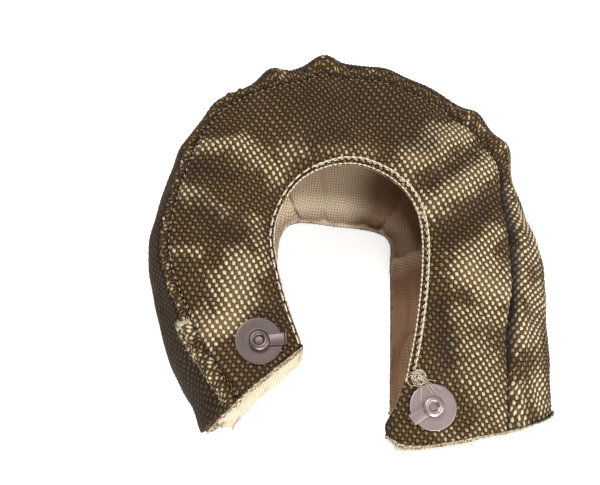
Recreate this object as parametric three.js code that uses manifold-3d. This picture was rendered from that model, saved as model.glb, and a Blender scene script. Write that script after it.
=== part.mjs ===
import * as THREE from 'three';
import { mergeVertices } from 'three/addons/utils/BufferGeometryUtils.js';
import Module from 'manifold-3d';

// Turbo heat blanket: a horseshoe of padded cloth that wraps a turbine housing.
// It lies on its back panel. Millimetres, +Z up, +Y toward the top of the arch.
// Plan positions are measured from the hub, the middle of the round mouth.

const wasm = await Module();
wasm.setup();

// Heights of the outer face above the back face
const lipHeight = 73;
const seamHeight = 68;
const rimHeight = 42;
const backSeamHeight = 3;
const backLipHeight = 2.8;
const frontCrown = 6;
const seamDip = 1.5;

// Layers of the pad, from the outside in, and the clearance between touching pieces
const clothThickness = 1;
const matThickness = 9.4;
const liningThickness = 1;
const matEdge = 2.9;
const clearance = 0.3;

// Plan outlines
const archRadius = 98;
const mouthRadius = 33;
const backMouthWidth = 58;
const backMouthTop = 23.6;
const leftLegReach = 94;
const rightLegReach = 79;
const leftLipReach = 57.4;
const rightLipReach = 101;
const backLeftReach = 52;
const backRightReach = 75;
const rightEndBow = 7;

// Puckers that the seams gather into the outer cloth
const gathers = 18;
const gatherHeight = 3;
const stationsPerGather = 3;

// Lacing anchors
const washerRadius = 11;
const washerThickness = 1;
const backingRadius = 8;
const backingThickness = 0.8;
const strapWidth = 5.5;
const strapThickness = 0.8;
const strapReach = 12.8;
const strapTab = 2.2;
const rivetRadius = 2.4;
const rivetBore = 1.5;
const rivetHeadRadius = 4.8;
const rivetHeadHeight = 1.4;
const rivetTailHeight = 0.9;
const matAtRivet = 4.4;
const frontDimple = 0.5;
const backDimple = 6.2;
const dimpleFlat = 20;
const dimpleBlend = 18;

// Sewing thread
const threadRadius = 0.45;
const threadGap = 0.5;
const topstitchInset = 3;
const backStitchInset = 1.2;

const padThickness = clothThickness + matThickness + liningThickness + 2 * clearance;
const lipThickness = clothThickness + liningThickness + 2 * clearance;
const padAtRivet = lipThickness + matAtRivet;
const stations = gathers * stationsPerGather;

// A point of the plan at an angle clockwise from +Y
const polar = (degrees, radius) => {
  const angle = THREE.MathUtils.degToRad(degrees);
  return new THREE.Vector2(radius * Math.sin(angle), radius * Math.cos(angle));
};
const at = (x, y) => new THREE.Vector2(x, y);

// Nine knots each, from the left leg end over the arch to the right leg end
const archAngles = [-90, -45, 0, 45, 90];
const outline = (leftLeg, arch, rightLeg) => [
  ...leftLeg,
  ...archAngles.map((angle, i) => polar(angle, arch[i])),
  ...rightLeg,
];
const rimKnots = outline(
  [at(-66.5, -leftLegReach), at(-87.5, -51)],
  [-1.5, 0, 0, 0.5, 0].map((step) => archRadius + step),
  [at(100.5, -42), at(103.3, -rightLegReach)],
);
const lipKnots = outline(
  [at(-24, -leftLipReach), at(-33.7, -29)],
  [4.6, 2, 0.2, -0.8, -0.5].map((step) => mouthRadius + step),
  [at(28.8, -48), at(16, -rightLipReach)],
);
const backLipKnots = [
  at(-17, -backLeftReach),
  at(-26, -25),
  at(-backMouthWidth / 2 - 1.3, 0),
  at(-backMouthWidth / 2 + 4, backMouthTop - 0.6),
  at(0, backMouthTop),
  at(backMouthWidth / 2 - 2.5, backMouthTop - 4.6),
  at(backMouthWidth / 2 - 0.4, 0),
  at(backMouthWidth / 2 - 0.6, -40),
  at(backMouthWidth / 2 - 1.2, -backRightReach),
];

// The seams lie inside the widest line of the rim, toward the mouth
const toward = (from, to, distances) => from.map((knot, i) => {
  const step = to[i].clone().sub(knot).setLength(distances[i]);
  return knot.clone().add(step);
});
const seamInsets = [17.3, 12.5, 8, 10, 15, 14.5, 17.5, 24, 30];
const backSeamInsets = [12, 12, 12, 12, 12.5, 13, 12.5, 13, 20];
const seamKnots = toward(rimKnots, lipKnots, seamInsets);
const backSeamKnots = toward(rimKnots, backLipKnots, backSeamInsets);

const lipCurve = new THREE.SplineCurve(lipKnots);
const seamCurve = new THREE.SplineCurve(seamKnots);
const rimCurve = new THREE.SplineCurve(rimKnots);
const backSeamCurve = new THREE.SplineCurve(backSeamKnots);
const backLipCurve = new THREE.SplineCurve(backLipKnots);

// Columns run across the section: front panel, rim, back panel.
// Each has its place between two outlines, its height and how far puckers lift it.
const frontSteps = [0, 0.13, 0.3, 0.65, 1];
const rimSteps = [1 / 3, 2 / 3, 1];
const backSteps = [0.28, 0.56, 0.85, 1];
const liftAcrossFront = [0, 0.1, 0.35, 0.9, 0.35];
const liftAcrossRim = [0.9, 1, 0.85, 0.6, 0.3, 0.05];
const panelHeight = (u) => {
  const crown = frontCrown * 4 * u * (1 - u);
  return THREE.MathUtils.lerp(lipHeight, seamHeight, u) + crown;
};
const columns = [
  ...frontSteps.map((u, i) => ({
    panel: 'front',
    curves: [lipCurve, seamCurve],
    share: u,
    height: panelHeight(u) - (u === 1 ? seamDip : 0),
    lift: liftAcrossFront[i],
  })),
  ...rimSteps.map((w, i) => ({
    panel: 'rim',
    curves: [seamCurve, rimCurve],
    share: 2 * w - w * w,
    height: THREE.MathUtils.lerp(seamHeight, rimHeight, w),
    lift: liftAcrossRim[i],
  })),
  ...rimSteps.map((w, i) => ({
    panel: 'rim',
    curves: [rimCurve, backSeamCurve],
    share: w * w,
    height: THREE.MathUtils.lerp(rimHeight, backSeamHeight, w),
    lift: liftAcrossRim[i + rimSteps.length],
  })),
  ...backSteps.map((u) => ({
    panel: 'back',
    curves: [backSeamCurve, backLipCurve],
    share: u,
    height: u === 1 ? backLipHeight : 0,
    lift: 0,
  })),
];
const frontSeamColumn = frontSteps.length - 1;
const backSeamColumn = frontSeamColumn + 2 * rimSteps.length;
const lastColumn = columns.length - 1;

// Where the lacing anchors sit, measured along the leg end from its mouth corner and in from it
const anchorSpot = (mouthCorner, outerCorner, along, inFromEnd) => {
  const edge = outerCorner.clone().sub(mouthCorner).normalize();
  const inward = at(-edge.y, edge.x);
  if (inward.y < 0) inward.negate();
  return mouthCorner.clone().addScaledVector(edge, along).addScaledVector(inward, inFromEnd);
};
const last = rimKnots.length - 1;
const frontSeat = lipHeight + frontDimple;
const anchors = [
  {
    name: 'front_left', front: true, seat: frontSeat, bearing: 5,
    spot: anchorSpot(lipKnots[0], rimKnots[0], 15, 14.1),
  },
  {
    name: 'front_right', front: true, seat: frontSeat, bearing: 213,
    spot: anchorSpot(lipKnots[last], rimKnots[last], 24, 10.5),
  },
  {
    name: 'back_left', front: false, seat: backDimple, bearing: 0,
    spot: anchorSpot(backLipKnots[0], backSeamKnots[0], 23, 17),
  },
  {
    name: 'back_right', front: false, seat: backDimple, bearing: 180,
    spot: anchorSpot(backLipKnots[last], backSeamKnots[last], 27, 17),
  },
];

// How firmly the nearest anchor on this panel holds the cloth down, from 0 to 1
const anchorPull = (x, y, panel) => {
  let pull = 0;
  let seat = 0;
  for (const anchor of anchors) {
    if (panel !== (anchor.front ? 'front' : 'back')) continue;
    const distance = Math.hypot(x - anchor.spot.x, y - anchor.spot.y);
    const held = 1 - THREE.MathUtils.smoothstep(distance, dimpleFlat, dimpleFlat + dimpleBlend);
    if (held > pull) {
      pull = held;
      seat = anchor.seat;
    }
  }
  return { pull, seat };
};

// Unpuckered outer face of the blanket as a grid of stations and columns
const stationShare = (i) => rimCurve.getUtoTmapping(i / stations);
const grid = [];
for (let i = 0; i <= stations; i += 1) {
  const t = stationShare(i);
  const row = columns.map((column) => {
    const inner = column.curves[0].getPoint(t);
    const outer = column.curves[1].getPoint(t);
    const plan = inner.lerp(outer, column.share);
    const { pull, seat } = anchorPull(plan.x, plan.y, column.panel);
    const height = THREE.MathUtils.lerp(column.height, seat, pull);
    return { point: new THREE.Vector3(plan.x, plan.y, height), pull };
  });
  grid.push(row);
}

// The right leg end bows outward between the mouth and the widest line
const bowColumns = frontSeamColumn + rimSteps.length;
const bowStations = 2 * stationsPerGather;
for (let i = 0; i < bowStations; i += 1) {
  const fade = 1 - i / bowStations;
  for (let j = 1; j < bowColumns; j += 1) {
    grid[stations - i][j].point.y -= rightEndBow * fade * fade * Math.sin(Math.PI * j / bowColumns);
  }
}

// Outward direction at each grid point, from the quads around it
const quadNormal = (i, j) => {
  const first = grid[i + 1][j + 1].point.clone().sub(grid[i][j].point);
  const second = grid[i][j + 1].point.clone().sub(grid[i + 1][j].point);
  return second.cross(first).normalize();
};
for (let i = 0; i <= stations; i += 1) {
  for (let j = 0; j <= lastColumn; j += 1) {
    const normal = new THREE.Vector3();
    for (const a of [i - 1, i]) {
      for (const b of [j - 1, j]) {
        if (a < 0 || b < 0 || a >= stations || b >= lastColumn) continue;
        normal.add(quadNormal(a, b));
      }
    }
    grid[i][j].normal = normal.normalize();
  }
}
const outwardSign = Math.sign(grid[stations / 2][2].normal.z);
for (const row of grid) {
  for (const node of row) node.normal.multiplyScalar(outwardSign);
}

// Full depth of the pad, thin at both mouth edges and pressed together under the anchors
const padDepth = (i, j) => {
  if (j === 0 || j === lastColumn) return lipThickness;
  const full = j === 1 || j === lastColumn - 1 ? lipThickness + matEdge : padThickness;
  return THREE.MathUtils.lerp(full, Math.min(full, padAtRivet), grid[i][j].pull);
};

// Puckers rise and fall once per gather and are strongest over the arch
const pucker = (i, j) => {
  const wave = Math.sin(Math.PI * (i + 1) / stationsPerGather) ** 2;
  const overArch = Math.sin(Math.PI * i / stations);
  return gatherHeight * columns[j].lift * wave * overArch * (1 - grid[i][j].pull);
};

const pointAtDepth = (i, j, depth) => {
  const { point, normal } = grid[i][j];
  return point.clone().addScaledVector(normal, -depth);
};

const geometryFrom = (positions, triangles) => {
  const geometry = new THREE.BufferGeometry();
  geometry.setAttribute('position', new THREE.Float32BufferAttribute(positions, 3));
  geometry.setIndex(triangles);
  return geometry;
};

const signedVolume = (positions, triangles) => {
  const corner = (k) => new THREE.Vector3().fromArray(positions, 3 * triangles[k]);
  let volume = 0;
  for (let k = 0; k < triangles.length; k += 3) {
    volume += corner(k).dot(corner(k + 1).cross(corner(k + 2))) / 6;
  }
  return volume;
};

// A closed slab between two like grids of points, given as rows
const slab = (outerRows, innerRows) => {
  const rows = outerRows.length;
  const width = outerRows[0].length;
  const positions = [];
  for (let i = 0; i < rows; i += 1) {
    for (let j = 0; j < width; j += 1) {
      positions.push(...outerRows[i][j].toArray(), ...innerRows[i][j].toArray());
    }
  }
  const id = (i, j, side) => 2 * (i * width + j) + side;
  const triangles = [];
  for (let i = 0; i < rows - 1; i += 1) {
    for (let j = 0; j < width - 1; j += 1) {
      const corners = [[i, j], [i + 1, j], [i + 1, j + 1], [i, j + 1]];
      const [a, b, c, d] = corners.map(([m, n]) => id(m, n, 0));
      triangles.push(a, b, c, a, c, d, a + 1, c + 1, b + 1, a + 1, d + 1, c + 1);
    }
  }
  const wall = (p, q) => triangles.push(q, p, p + 1, q, p + 1, q + 1);
  for (let i = 0; i < rows - 1; i += 1) {
    wall(id(i, 0, 0), id(i + 1, 0, 0));
    wall(id(i + 1, width - 1, 0), id(i, width - 1, 0));
  }
  for (let j = 0; j < width - 1; j += 1) {
    wall(id(rows - 1, j, 0), id(rows - 1, j + 1, 0));
    wall(id(0, j + 1, 0), id(0, j, 0));
  }
  if (signedVolume(positions, triangles) < 0) {
    for (let k = 0; k < triangles.length; k += 3) {
      [triangles[k], triangles[k + 1]] = [triangles[k + 1], triangles[k]];
    }
  }
  return geometryFrom(positions, triangles);
};

// One layer of the pad over a range of columns, drawn back from the seams it shares
const layer = (firstColumn, finalColumn, outerDepth, innerDepth) => {
  const face = (depthAt) => {
    const rows = [];
    for (let i = 0; i <= stations; i += 1) {
      const row = [];
      for (let j = firstColumn; j <= finalColumn; j += 1) row.push(pointAtDepth(i, j, depthAt(i, j)));
      drawBack(row, 0, 1, firstColumn);
      drawBack(row, row.length - 1, row.length - 2, finalColumn);
      rows.push(row);
    }
    return rows;
  };
  return slab(face(outerDepth), face(innerDepth));
};
const drawBack = (row, edge, beside, column) => {
  if (column !== frontSeamColumn && column !== backSeamColumn) return;
  const step = row[beside].clone().sub(row[edge]).setLength(clearance);
  row[edge].add(step);
};

// Solids for cutting and joining
const toSolid = (geometry) => {
  const bare = geometry.clone();
  bare.deleteAttribute('normal');
  bare.deleteAttribute('uv');
  const merged = mergeVertices(bare);
  return new wasm.Manifold(new wasm.Mesh({
    numProp: 3,
    vertProperties: new Float32Array(merged.attributes.position.array),
    triVerts: new Uint32Array(merged.index.array),
  }));
};
const toGeometry = (solid) => {
  const mesh = solid.getMesh();
  return geometryFrom(Array.from(mesh.vertProperties), Array.from(mesh.triVerts));
};

// A round bar along Z for cutting holes
const bar = (radius, bottom, top, x, y) => {
  const geometry = new THREE.CylinderGeometry(radius, radius, top - bottom, 16);
  geometry.rotateX(Math.PI / 2);
  geometry.translate(x, y, (bottom + top) / 2);
  return geometry;
};
const punched = (geometry, front) => {
  let solid = toSolid(geometry);
  for (const anchor of anchors) {
    if (anchor.front !== front) continue;
    const { x, y } = anchor.spot;
    const bottom = anchor.seat - 2 * padThickness;
    const top = anchor.seat + 2 * padThickness;
    solid = solid.subtract(toSolid(bar(rivetRadius + clearance, bottom, top, x, y)));
  }
  return toGeometry(solid);
};

// Materials
const outerCloth = () => new THREE.MeshStandardMaterial({ color: 0x5c4a38, roughness: 0.7, metalness: 0.1 });
const liningCloth = () => new THREE.MeshStandardMaterial({ color: 0xb49a7c, roughness: 0.85, metalness: 0 });
const silicaWool = () => new THREE.MeshStandardMaterial({ color: 0xe9e4d8, roughness: 0.95, metalness: 0 });
const threadYarn = () => new THREE.MeshStandardMaterial({ color: 0xe6d8c0, roughness: 0.8, metalness: 0 });
const stainlessSteel = () => new THREE.MeshStandardMaterial({ color: 0x9a918e, roughness: 0.35, metalness: 0.9 });

const blanket = new THREE.Group();
const add = (name, geometry, material, parent = blanket) => {
  const mesh = new THREE.Mesh(geometry, material);
  mesh.name = name;
  geometry.computeVertexNormals();
  parent.add(mesh);
  return mesh;
};

// Padded panels: outer cloth, insulation mat and lining on the front, the rim and the back
const panels = [
  { name: 'front', first: 0, final: frontSeamColumn, matFirst: 1, matFinal: frontSeamColumn },
  { name: 'rim', first: frontSeamColumn, final: backSeamColumn, matFirst: frontSeamColumn, matFinal: backSeamColumn },
  { name: 'back', first: backSeamColumn, final: lastColumn, matFirst: backSeamColumn, matFinal: lastColumn - 1 },
];
for (const panel of panels) {
  const cloth = layer(
    panel.first, panel.final,
    (i, j) => -pucker(i, j),
    (i, j) => clothThickness - pucker(i, j),
  );
  const mat = layer(
    panel.matFirst, panel.matFinal,
    () => clothThickness + clearance,
    (i, j) => padDepth(i, j) - liningThickness - clearance,
  );
  const lining = layer(
    panel.first, panel.final,
    (i, j) => padDepth(i, j) - liningThickness,
    (i, j) => padDepth(i, j),
  );
  const riveted = panel.name !== 'rim';
  const finish = (geometry) => (riveted ? punched(geometry, panel.name === 'front') : geometry);
  add(`${panel.name}_outer_panel`, finish(cloth), outerCloth());
  add(`${panel.name}_insulation_mat`, finish(mat), silicaWool());
  add(`${panel.name}_lining`, finish(lining), liningCloth());
}

// A strip of outer cloth closes the pad at each leg end
const endBinding = (i, neighbour) => {
  const order = [...columns.keys()];
  if (i > neighbour) order.reverse();
  const strip = (away) => [0, 1].map((side) => order.map((j) => {
    const depth = side ? padDepth(i, j) : 0;
    const outward = grid[i][j].point.clone().sub(grid[neighbour][j].point).setLength(away);
    return pointAtDepth(i, j, depth).add(outward);
  }));
  return slab(strip(clearance), strip(clearance + clothThickness));
};
add('left_end_binding', endBinding(0, 1), outerCloth());
add('right_end_binding', endBinding(stations, stations - 1), outerCloth());

// Thread laid along the cloth, as a bar with four flats
const threadSides = 4;
const threadAlong = (column, next, inset) => {
  const rings = [];
  for (let i = 0; i <= stations; i += 1) {
    const { point, normal } = grid[i][column];
    const across = grid[i][next].point.clone().sub(point).normalize();
    const centre = point.clone().addScaledVector(across, inset);
    centre.addScaledVector(normal, threadGap + threadRadius + pucker(i, next) * inset / padThickness);
    const ring = [];
    for (let k = 0; k < threadSides; k += 1) {
      const turn = 2 * Math.PI * k / threadSides;
      const spoke = normal.clone().multiplyScalar(Math.sin(turn) * threadRadius);
      ring.push(centre.clone().add(spoke).addScaledVector(across, Math.cos(turn) * threadRadius));
    }
    rings.push(ring);
  }
  return rings;
};
const barFromRings = (rings) => {
  const positions = rings.flat().flatMap((point) => point.toArray());
  const sides = rings[0].length;
  const triangles = [];
  for (let i = 0; i < rings.length - 1; i += 1) {
    for (let k = 0; k < sides; k += 1) {
      const a = i * sides + k;
      const b = i * sides + (k + 1) % sides;
      triangles.push(a, b, b + sides, a, b + sides, a + sides);
    }
  }
  const tail = (rings.length - 1) * sides;
  for (let k = 1; k < sides - 1; k += 1) {
    triangles.push(0, k + 1, k, tail, tail + k, tail + k + 1);
  }
  if (signedVolume(positions, triangles) < 0) {
    for (let k = 0; k < triangles.length; k += 3) {
      [triangles[k], triangles[k + 1]] = [triangles[k + 1], triangles[k]];
    }
  }
  return geometryFrom(positions, triangles);
};
add('front_mouth_topstitch', barFromRings(threadAlong(0, 1, topstitchInset)), threadYarn());
add('front_mouth_edge_stitch', barFromRings(threadAlong(0, 1, 2 * threadRadius)), threadYarn());
add('back_mouth_topstitch', barFromRings(threadAlong(lastColumn, lastColumn - 1, backStitchInset)), threadYarn());

// Lacing anchors, modelled standing on the cloth with +Z away from the pad
const washerBottom = clearance;
const washerTop = washerBottom + washerThickness;
const strapBottom = washerTop + clearance;
const strapTop = strapBottom + strapThickness;
const headBottom = strapTop + clearance;
const headTop = headBottom + rivetHeadHeight;
const backingTop = -padAtRivet - clearance;
const backingBottom = backingTop - backingThickness;
const tailTop = backingBottom - clearance;
const tailBottom = tailTop - rivetTailHeight;

const turned = (profile, segments) => {
  const points = profile.map(([radius, z]) => new THREE.Vector2(radius, z));
  points.push(points[0].clone());
  const geometry = new THREE.LatheGeometry(points, segments);
  geometry.rotateX(Math.PI / 2);
  return geometry;
};
const edgeBevel = 0.3;
const outerWasher = () => turned([
  [rivetRadius + clearance, washerBottom],
  [washerRadius, washerBottom],
  [washerRadius, washerTop - edgeBevel],
  [washerRadius - edgeBevel, washerTop],
  [rivetRadius + clearance, washerTop],
], 24);
const backingWasher = () => turned([
  [rivetRadius + clearance, backingBottom],
  [backingRadius, backingBottom],
  [backingRadius, backingTop],
  [rivetRadius + clearance, backingTop],
], 16);
const rivet = () => turned([
  [rivetBore, tailBottom + edgeBevel],
  [rivetRadius, tailBottom],
  [rivetHeadRadius - edgeBevel, tailBottom],
  [rivetHeadRadius, tailTop],
  [rivetRadius, tailTop],
  [rivetRadius, headBottom],
  [rivetHeadRadius, headBottom],
  [rivetHeadRadius - edgeBevel, headBottom + rivetHeadHeight / 2],
  [rivetHeadRadius - 4 * edgeBevel, headTop],
  [rivetRadius, headTop - edgeBevel],
  [rivetBore, headBottom],
], 12);
const hookStrap = () => {
  const heel = -rivetRadius - 1.2;
  const side = new THREE.Shape();
  side.moveTo(heel, strapBottom);
  side.lineTo(strapReach - edgeBevel, strapBottom);
  side.lineTo(strapReach, strapBottom + edgeBevel);
  side.lineTo(strapReach, strapTop + strapTab);
  side.lineTo(strapReach - strapThickness, strapTop + strapTab);
  side.lineTo(strapReach - strapThickness, strapTop);
  side.lineTo(heel, strapTop);
  side.closePath();
  const geometry = new THREE.ExtrudeGeometry(side, { depth: strapWidth, bevelEnabled: false });
  geometry.rotateX(Math.PI / 2);
  geometry.translate(0, strapWidth / 2, 0);
  const hole = bar(rivetRadius + clearance / 2, strapBottom - 1, strapTop + 1, 0, 0);
  return toGeometry(toSolid(geometry).subtract(toSolid(hole)));
};
for (const anchor of anchors) {
  const place = new THREE.Group();
  const bearing = THREE.MathUtils.degToRad(anchor.bearing);
  place.position.set(anchor.spot.x, anchor.spot.y, anchor.seat);
  place.rotation.set(anchor.front ? 0 : Math.PI, 0, anchor.front ? bearing : -bearing);
  blanket.add(place);
  add(`${anchor.name}_washer`, outerWasher(), stainlessSteel(), place);
  add(`${anchor.name}_hook_strap`, hookStrap(), stainlessSteel(), place);
  add(`${anchor.name}_rivet`, rivet(), stainlessSteel(), place);
  add(`${anchor.name}_backing_washer`, backingWasher(), stainlessSteel(), place);
}

// The origin is the middle of the underside
const bounds = new THREE.Box3().setFromObject(blanket);
blanket.position.set(
  -(bounds.min.x + bounds.max.x) / 2,
  -(bounds.min.y + bounds.max.y) / 2,
  -bounds.min.z,
);

export default blanket;
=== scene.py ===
import math
from types import SimpleNamespace

import bpy
import numpy as np
from mathutils import Matrix, Vector


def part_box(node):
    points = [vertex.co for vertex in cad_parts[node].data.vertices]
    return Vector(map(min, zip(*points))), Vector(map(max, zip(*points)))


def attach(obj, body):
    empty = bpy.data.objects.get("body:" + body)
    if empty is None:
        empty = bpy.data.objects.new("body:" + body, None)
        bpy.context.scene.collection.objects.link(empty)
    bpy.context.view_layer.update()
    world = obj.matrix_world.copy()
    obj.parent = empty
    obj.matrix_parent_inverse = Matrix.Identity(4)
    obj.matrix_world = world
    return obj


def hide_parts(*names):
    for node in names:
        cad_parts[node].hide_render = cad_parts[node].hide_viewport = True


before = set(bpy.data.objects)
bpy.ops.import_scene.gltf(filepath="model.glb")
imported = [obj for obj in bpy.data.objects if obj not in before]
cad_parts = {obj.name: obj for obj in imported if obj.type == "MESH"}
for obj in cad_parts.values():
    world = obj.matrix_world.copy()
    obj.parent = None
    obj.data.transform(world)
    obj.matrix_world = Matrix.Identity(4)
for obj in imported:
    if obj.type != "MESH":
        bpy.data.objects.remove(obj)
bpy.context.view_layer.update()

bl_info = {
    "name": "Turbo heat blanket",
    "version": (1, 0, 0),
    "blender": (4, 5, 0),
    "location": "View3D > Sidebar > Blanket",
    "description": "Woven, padded and stitched surfaces for a lace-on turbine heat blanket",
    "category": "Object",
}

MM = 0.001


def linear(hex_colour):
    """An sRGB hex value as linear red, green and blue."""
    parts = [int(hex_colour[k:k + 2], 16) / 255 for k in (1, 3, 5)]
    return [c / 12.92 if c <= 0.04045 else ((c + 0.055) / 1.055) ** 2.4 for c in parts]


def length(name, size, description):
    """A size that the sidebar shows, from its default in millimetres."""
    return bpy.props.FloatProperty(
        name=name, description=description, default=size * MM, min=0.05 * MM, unit="LENGTH")


def colour(name, hex_colour, description):
    return bpy.props.FloatVectorProperty(
        name=name, description=description, default=linear(hex_colour), subtype="COLOR")


class BlanketSizes(bpy.types.PropertyGroup):
    """Sizes of the cloth, the sewing and the metal."""

    warp_pitch: length("Warp pitch", 1.78, "Spacing of the bright yarns of the outer cloth")
    weft_pitch: length("Weft pitch", 2.0, "Spacing of the dark yarns of the outer cloth")
    weave_depth: length("Weave depth", 0.72, "How far a yarn stands above the gaps beside it")
    lining_pitch: length("Lining pitch", 1.4, "Spacing of the lining's yarns, coarser than real")
    stitch_length: length("Stitch length", 5.4, "Length of one stitch of the topstitch")
    thread_diameter: length("Thread diameter", 0.85, "Diameter of the sewing thread")
    fringe_length: length("Fringe length", 2.6, "Length of the loose fibres at raw edges")
    washer_edge: length("Washer edge", 0.3, "Rolled edge of the stamped washers")


def in_millimetres(group):
    """The sizes of the sidebar as plain numbers in millimetres."""
    names = BlanketSizes.__annotations__
    return SimpleNamespace(**{name: round(getattr(group, name) / MM, 4) for name in names})


class BlanketColours(bpy.types.PropertyGroup):
    """Colours of the yarns, the thread and the metal."""

    weft_dark: colour("Dark yarn", "#4b3515", "Yarn that lies across")
    warp_dull: colour("Dull yarn", "#8d785c", "Yarn that lies along, in shade")
    # Painted highlight: the colour that glinting yarns turn to
    warp_glint_colour: colour("Bright yarn", "#f0ddb2", "The same yarn where it is polished")
    # Painted shade: the colour toward which the cloth darkens in the seam valley, the crease and the front's
    # hollows, and on the rim's side away from the light.
    painted_shade: colour("Soot", "#1f1514", "Cloth in the crease, and on the shaded side of the rim")
    lining_tan: colour("Lining", "#f7e3c6", "Silica cloth inside")
    # Besides random stains, the colour of the lining's painted shade: on its right wall, beside its first
    # fold and, darkened, in the gaps between its yarns.
    lining_brown: colour("Stained lining", "#86664e", "Heat-stained silica cloth")
    tape_pale: colour("Facing tape", "#f4e6cf", "Smooth tape that faces the lip")
    thread_cream: colour("Thread", "#e9dcc4", "Glass sewing thread")
    thread_grey: colour("Thread shade", "#9c8b70", "Between the plies of the thread")
    # Painted light: one steel in two copies, darker with painted shade for the left anchors and lighter with
    # painted reflection for the right ones.
    steel_shaded_copy: colour("Tinted steel", "#776a66", "Stamped stainless steel, darkened by heat")
    steel_lit_copy: colour("Clean steel", "#b7a7a4", "Stamped stainless steel, still bright")


# Outlines of the blanket in millimetres from the hub, the middle of the mouth.
# Nine knots each, from the left leg end over the arch to the right leg end.

ARCH_ANGLES = np.radians([-90, -45, 0, 45, 90])


def over_arch(*radii):
    return np.stack([np.sin(ARCH_ANGLES), np.cos(ARCH_ANGLES)], 1) * np.array(radii)[:, None]


RIM_KNOTS = np.vstack([
    [(-66.5, -94), (-87.5, -51)], over_arch(96.5, 98, 98, 98.5, 98), [(100.5, -42), (103.3, -79)],
])
LIP_KNOTS = np.vstack([
    [(-24, -57.4), (-33.7, -29)], over_arch(37.6, 35, 33.2, 32.2, 32.5), [(28.8, -48), (16, -101)],
])
BACK_LIP_KNOTS = np.array([
    (-17, -52), (-26, -25), (-30.3, 0), (-25, 23), (0, 23.6),
    (26.5, 19), (28.6, 0), (28.4, -40), (27.8, -75),
], float)


def unit(v):
    return v / np.maximum(np.linalg.norm(v, axis=-1, keepdims=True), 1e-9)


def moved_toward(knots, targets, distances):
    return knots + unit(targets - knots) * np.array(distances)[:, None]


SEAM_KNOTS = moved_toward(RIM_KNOTS, LIP_KNOTS, [17.3, 12.5, 8, 10, 15, 14.5, 17.5, 24, 30])
BACK_SEAM_KNOTS = moved_toward(RIM_KNOTS, BACK_LIP_KNOTS, [12, 12, 12, 12, 12.5, 13, 12.5, 13, 20])

LIP_HEIGHT = 73
SEAM_HEIGHT = 68
SEAM_ROUND = 1.5
RIM_HEIGHT = 42
BACK_SEAM_HEIGHT = 3
BACK_LIP_HEIGHT = 2.8
FRONT_CROWN = 6
RIGHT_END_BOW = 7
CLOTH = 1.0
LINING = 1.0
GAP = 0.3
MAT = 9.4
MAT_AT_RIVET = 4.4
LIP_DEPTH = CLOTH + LINING + 2 * GAP
PAD_DEPTH = LIP_DEPTH + MAT
STATIONS = 54
FRONT_STEPS = [0, 0.13, 0.3, 0.65, 1]
BACK_STEPS = [0, 0.28, 0.56, 0.85, 1]
# Share of a panel's width over which the mat grows from the mouth edge to its full depth
MAT_RAMP = 0.26
DIMPLE_FLAT = 14
DIMPLE_BLEND = 14
# Middling widths of the panels and of the way round them, which turn shares into millimetres
FACE_WIDTH = 52
RIM_WIDTH = 84
WAY_ROUND = 470


def smooth(x):
    x = np.clip(x, 0, 1)
    return x * x * (3 - 2 * x)


def bell(x, middle, width, power=2):
    """1 at the middle and falling to 0 past the width, flatter on top for a higher power."""
    return np.exp(-(np.abs(x - middle) / width) ** power)


def running_length(points):
    """The length along a line of points, from 0 at its first."""
    return np.concatenate([[0], np.cumsum(np.linalg.norm(np.diff(points, axis=0), axis=1))])


def along(place, total, values):
    """Rows of three values, read at places along a line whose running length is given."""
    return np.stack([np.interp(place, total, values[:, k]) for k in range(3)], -1)


def curve(knots, t):
    """A smooth curve through the knots, at shares t of the way."""
    last = len(knots) - 1
    place = np.clip(t, 0, 1) * last
    k = np.minimum(place.astype(int), last - 1)
    w = (place - k)[..., None]
    before, here = knots[np.maximum(k - 1, 0)], knots[k]
    after, beyond = knots[k + 1], knots[np.minimum(k + 2, last)]
    v0, v1 = (after - before) / 2, (beyond - here) / 2
    cubic = 2 * here - 2 * after + v0 + v1
    square = -3 * here + 3 * after - 2 * v0 - v1
    return ((cubic * w + square) * w + v0) * w + here


def knot_share(s):
    """Turns an even share of the rim's length into a share of its knots."""
    t = np.linspace(0, 1, 201)
    total = running_length(curve(RIM_KNOTS, t))
    return np.interp(s, total / total[-1], t)


def anchor_spot(mouth_corner, outer_corner, out, from_end):
    """A place on a leg end: so far out from the mouth corner, so far up from the end."""
    edge = unit(outer_corner - mouth_corner)
    inward = np.array([-edge[1], edge[0]]) * (1 if edge[0] >= 0 else -1)
    return mouth_corner + edge * out + inward * from_end


FRONT_SEAT = LIP_HEIGHT + 0.5
BACK_SEAT = 6.2
# The four lacing anchors: place, height of the seat, bearing of the strap in degrees
ANCHORS = {
    "front_left": (anchor_spot(LIP_KNOTS[0], RIM_KNOTS[0], 15, 14.1), FRONT_SEAT, 5),
    "front_right": (anchor_spot(LIP_KNOTS[-1], RIM_KNOTS[-1], 24, 10.5), FRONT_SEAT, 213),
    "back_left": (anchor_spot(BACK_LIP_KNOTS[0], BACK_SEAM_KNOTS[0], 23, 17), BACK_SEAT, 0),
    "back_right": (anchor_spot(BACK_LIP_KNOTS[-1], BACK_SEAM_KNOTS[-1], 27, 17), BACK_SEAT, 180),
}


def hub_place():
    """Where the hub lies in the frame, in millimetres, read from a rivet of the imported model."""
    low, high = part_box("front_left_rivet")
    spot = ANCHORS["front_left"][0]
    middle = (low + high) / 2 / MM
    return np.array([middle.x - spot[0], middle.y - spot[1], 0])


HUB = hub_place()


def anchor_pull(x, y, side):
    """How firmly the anchors of the front or back hold the cloth down, from 0 to 1."""
    pull = np.zeros_like(x)
    for name, anchor in ANCHORS.items():
        if name.startswith(side):
            away = np.hypot(x - anchor[0][0], y - anchor[0][1])
            pull = np.maximum(pull, 1 - smooth((away - DIMPLE_FLAT) / DIMPLE_BLEND))
    return pull


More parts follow.
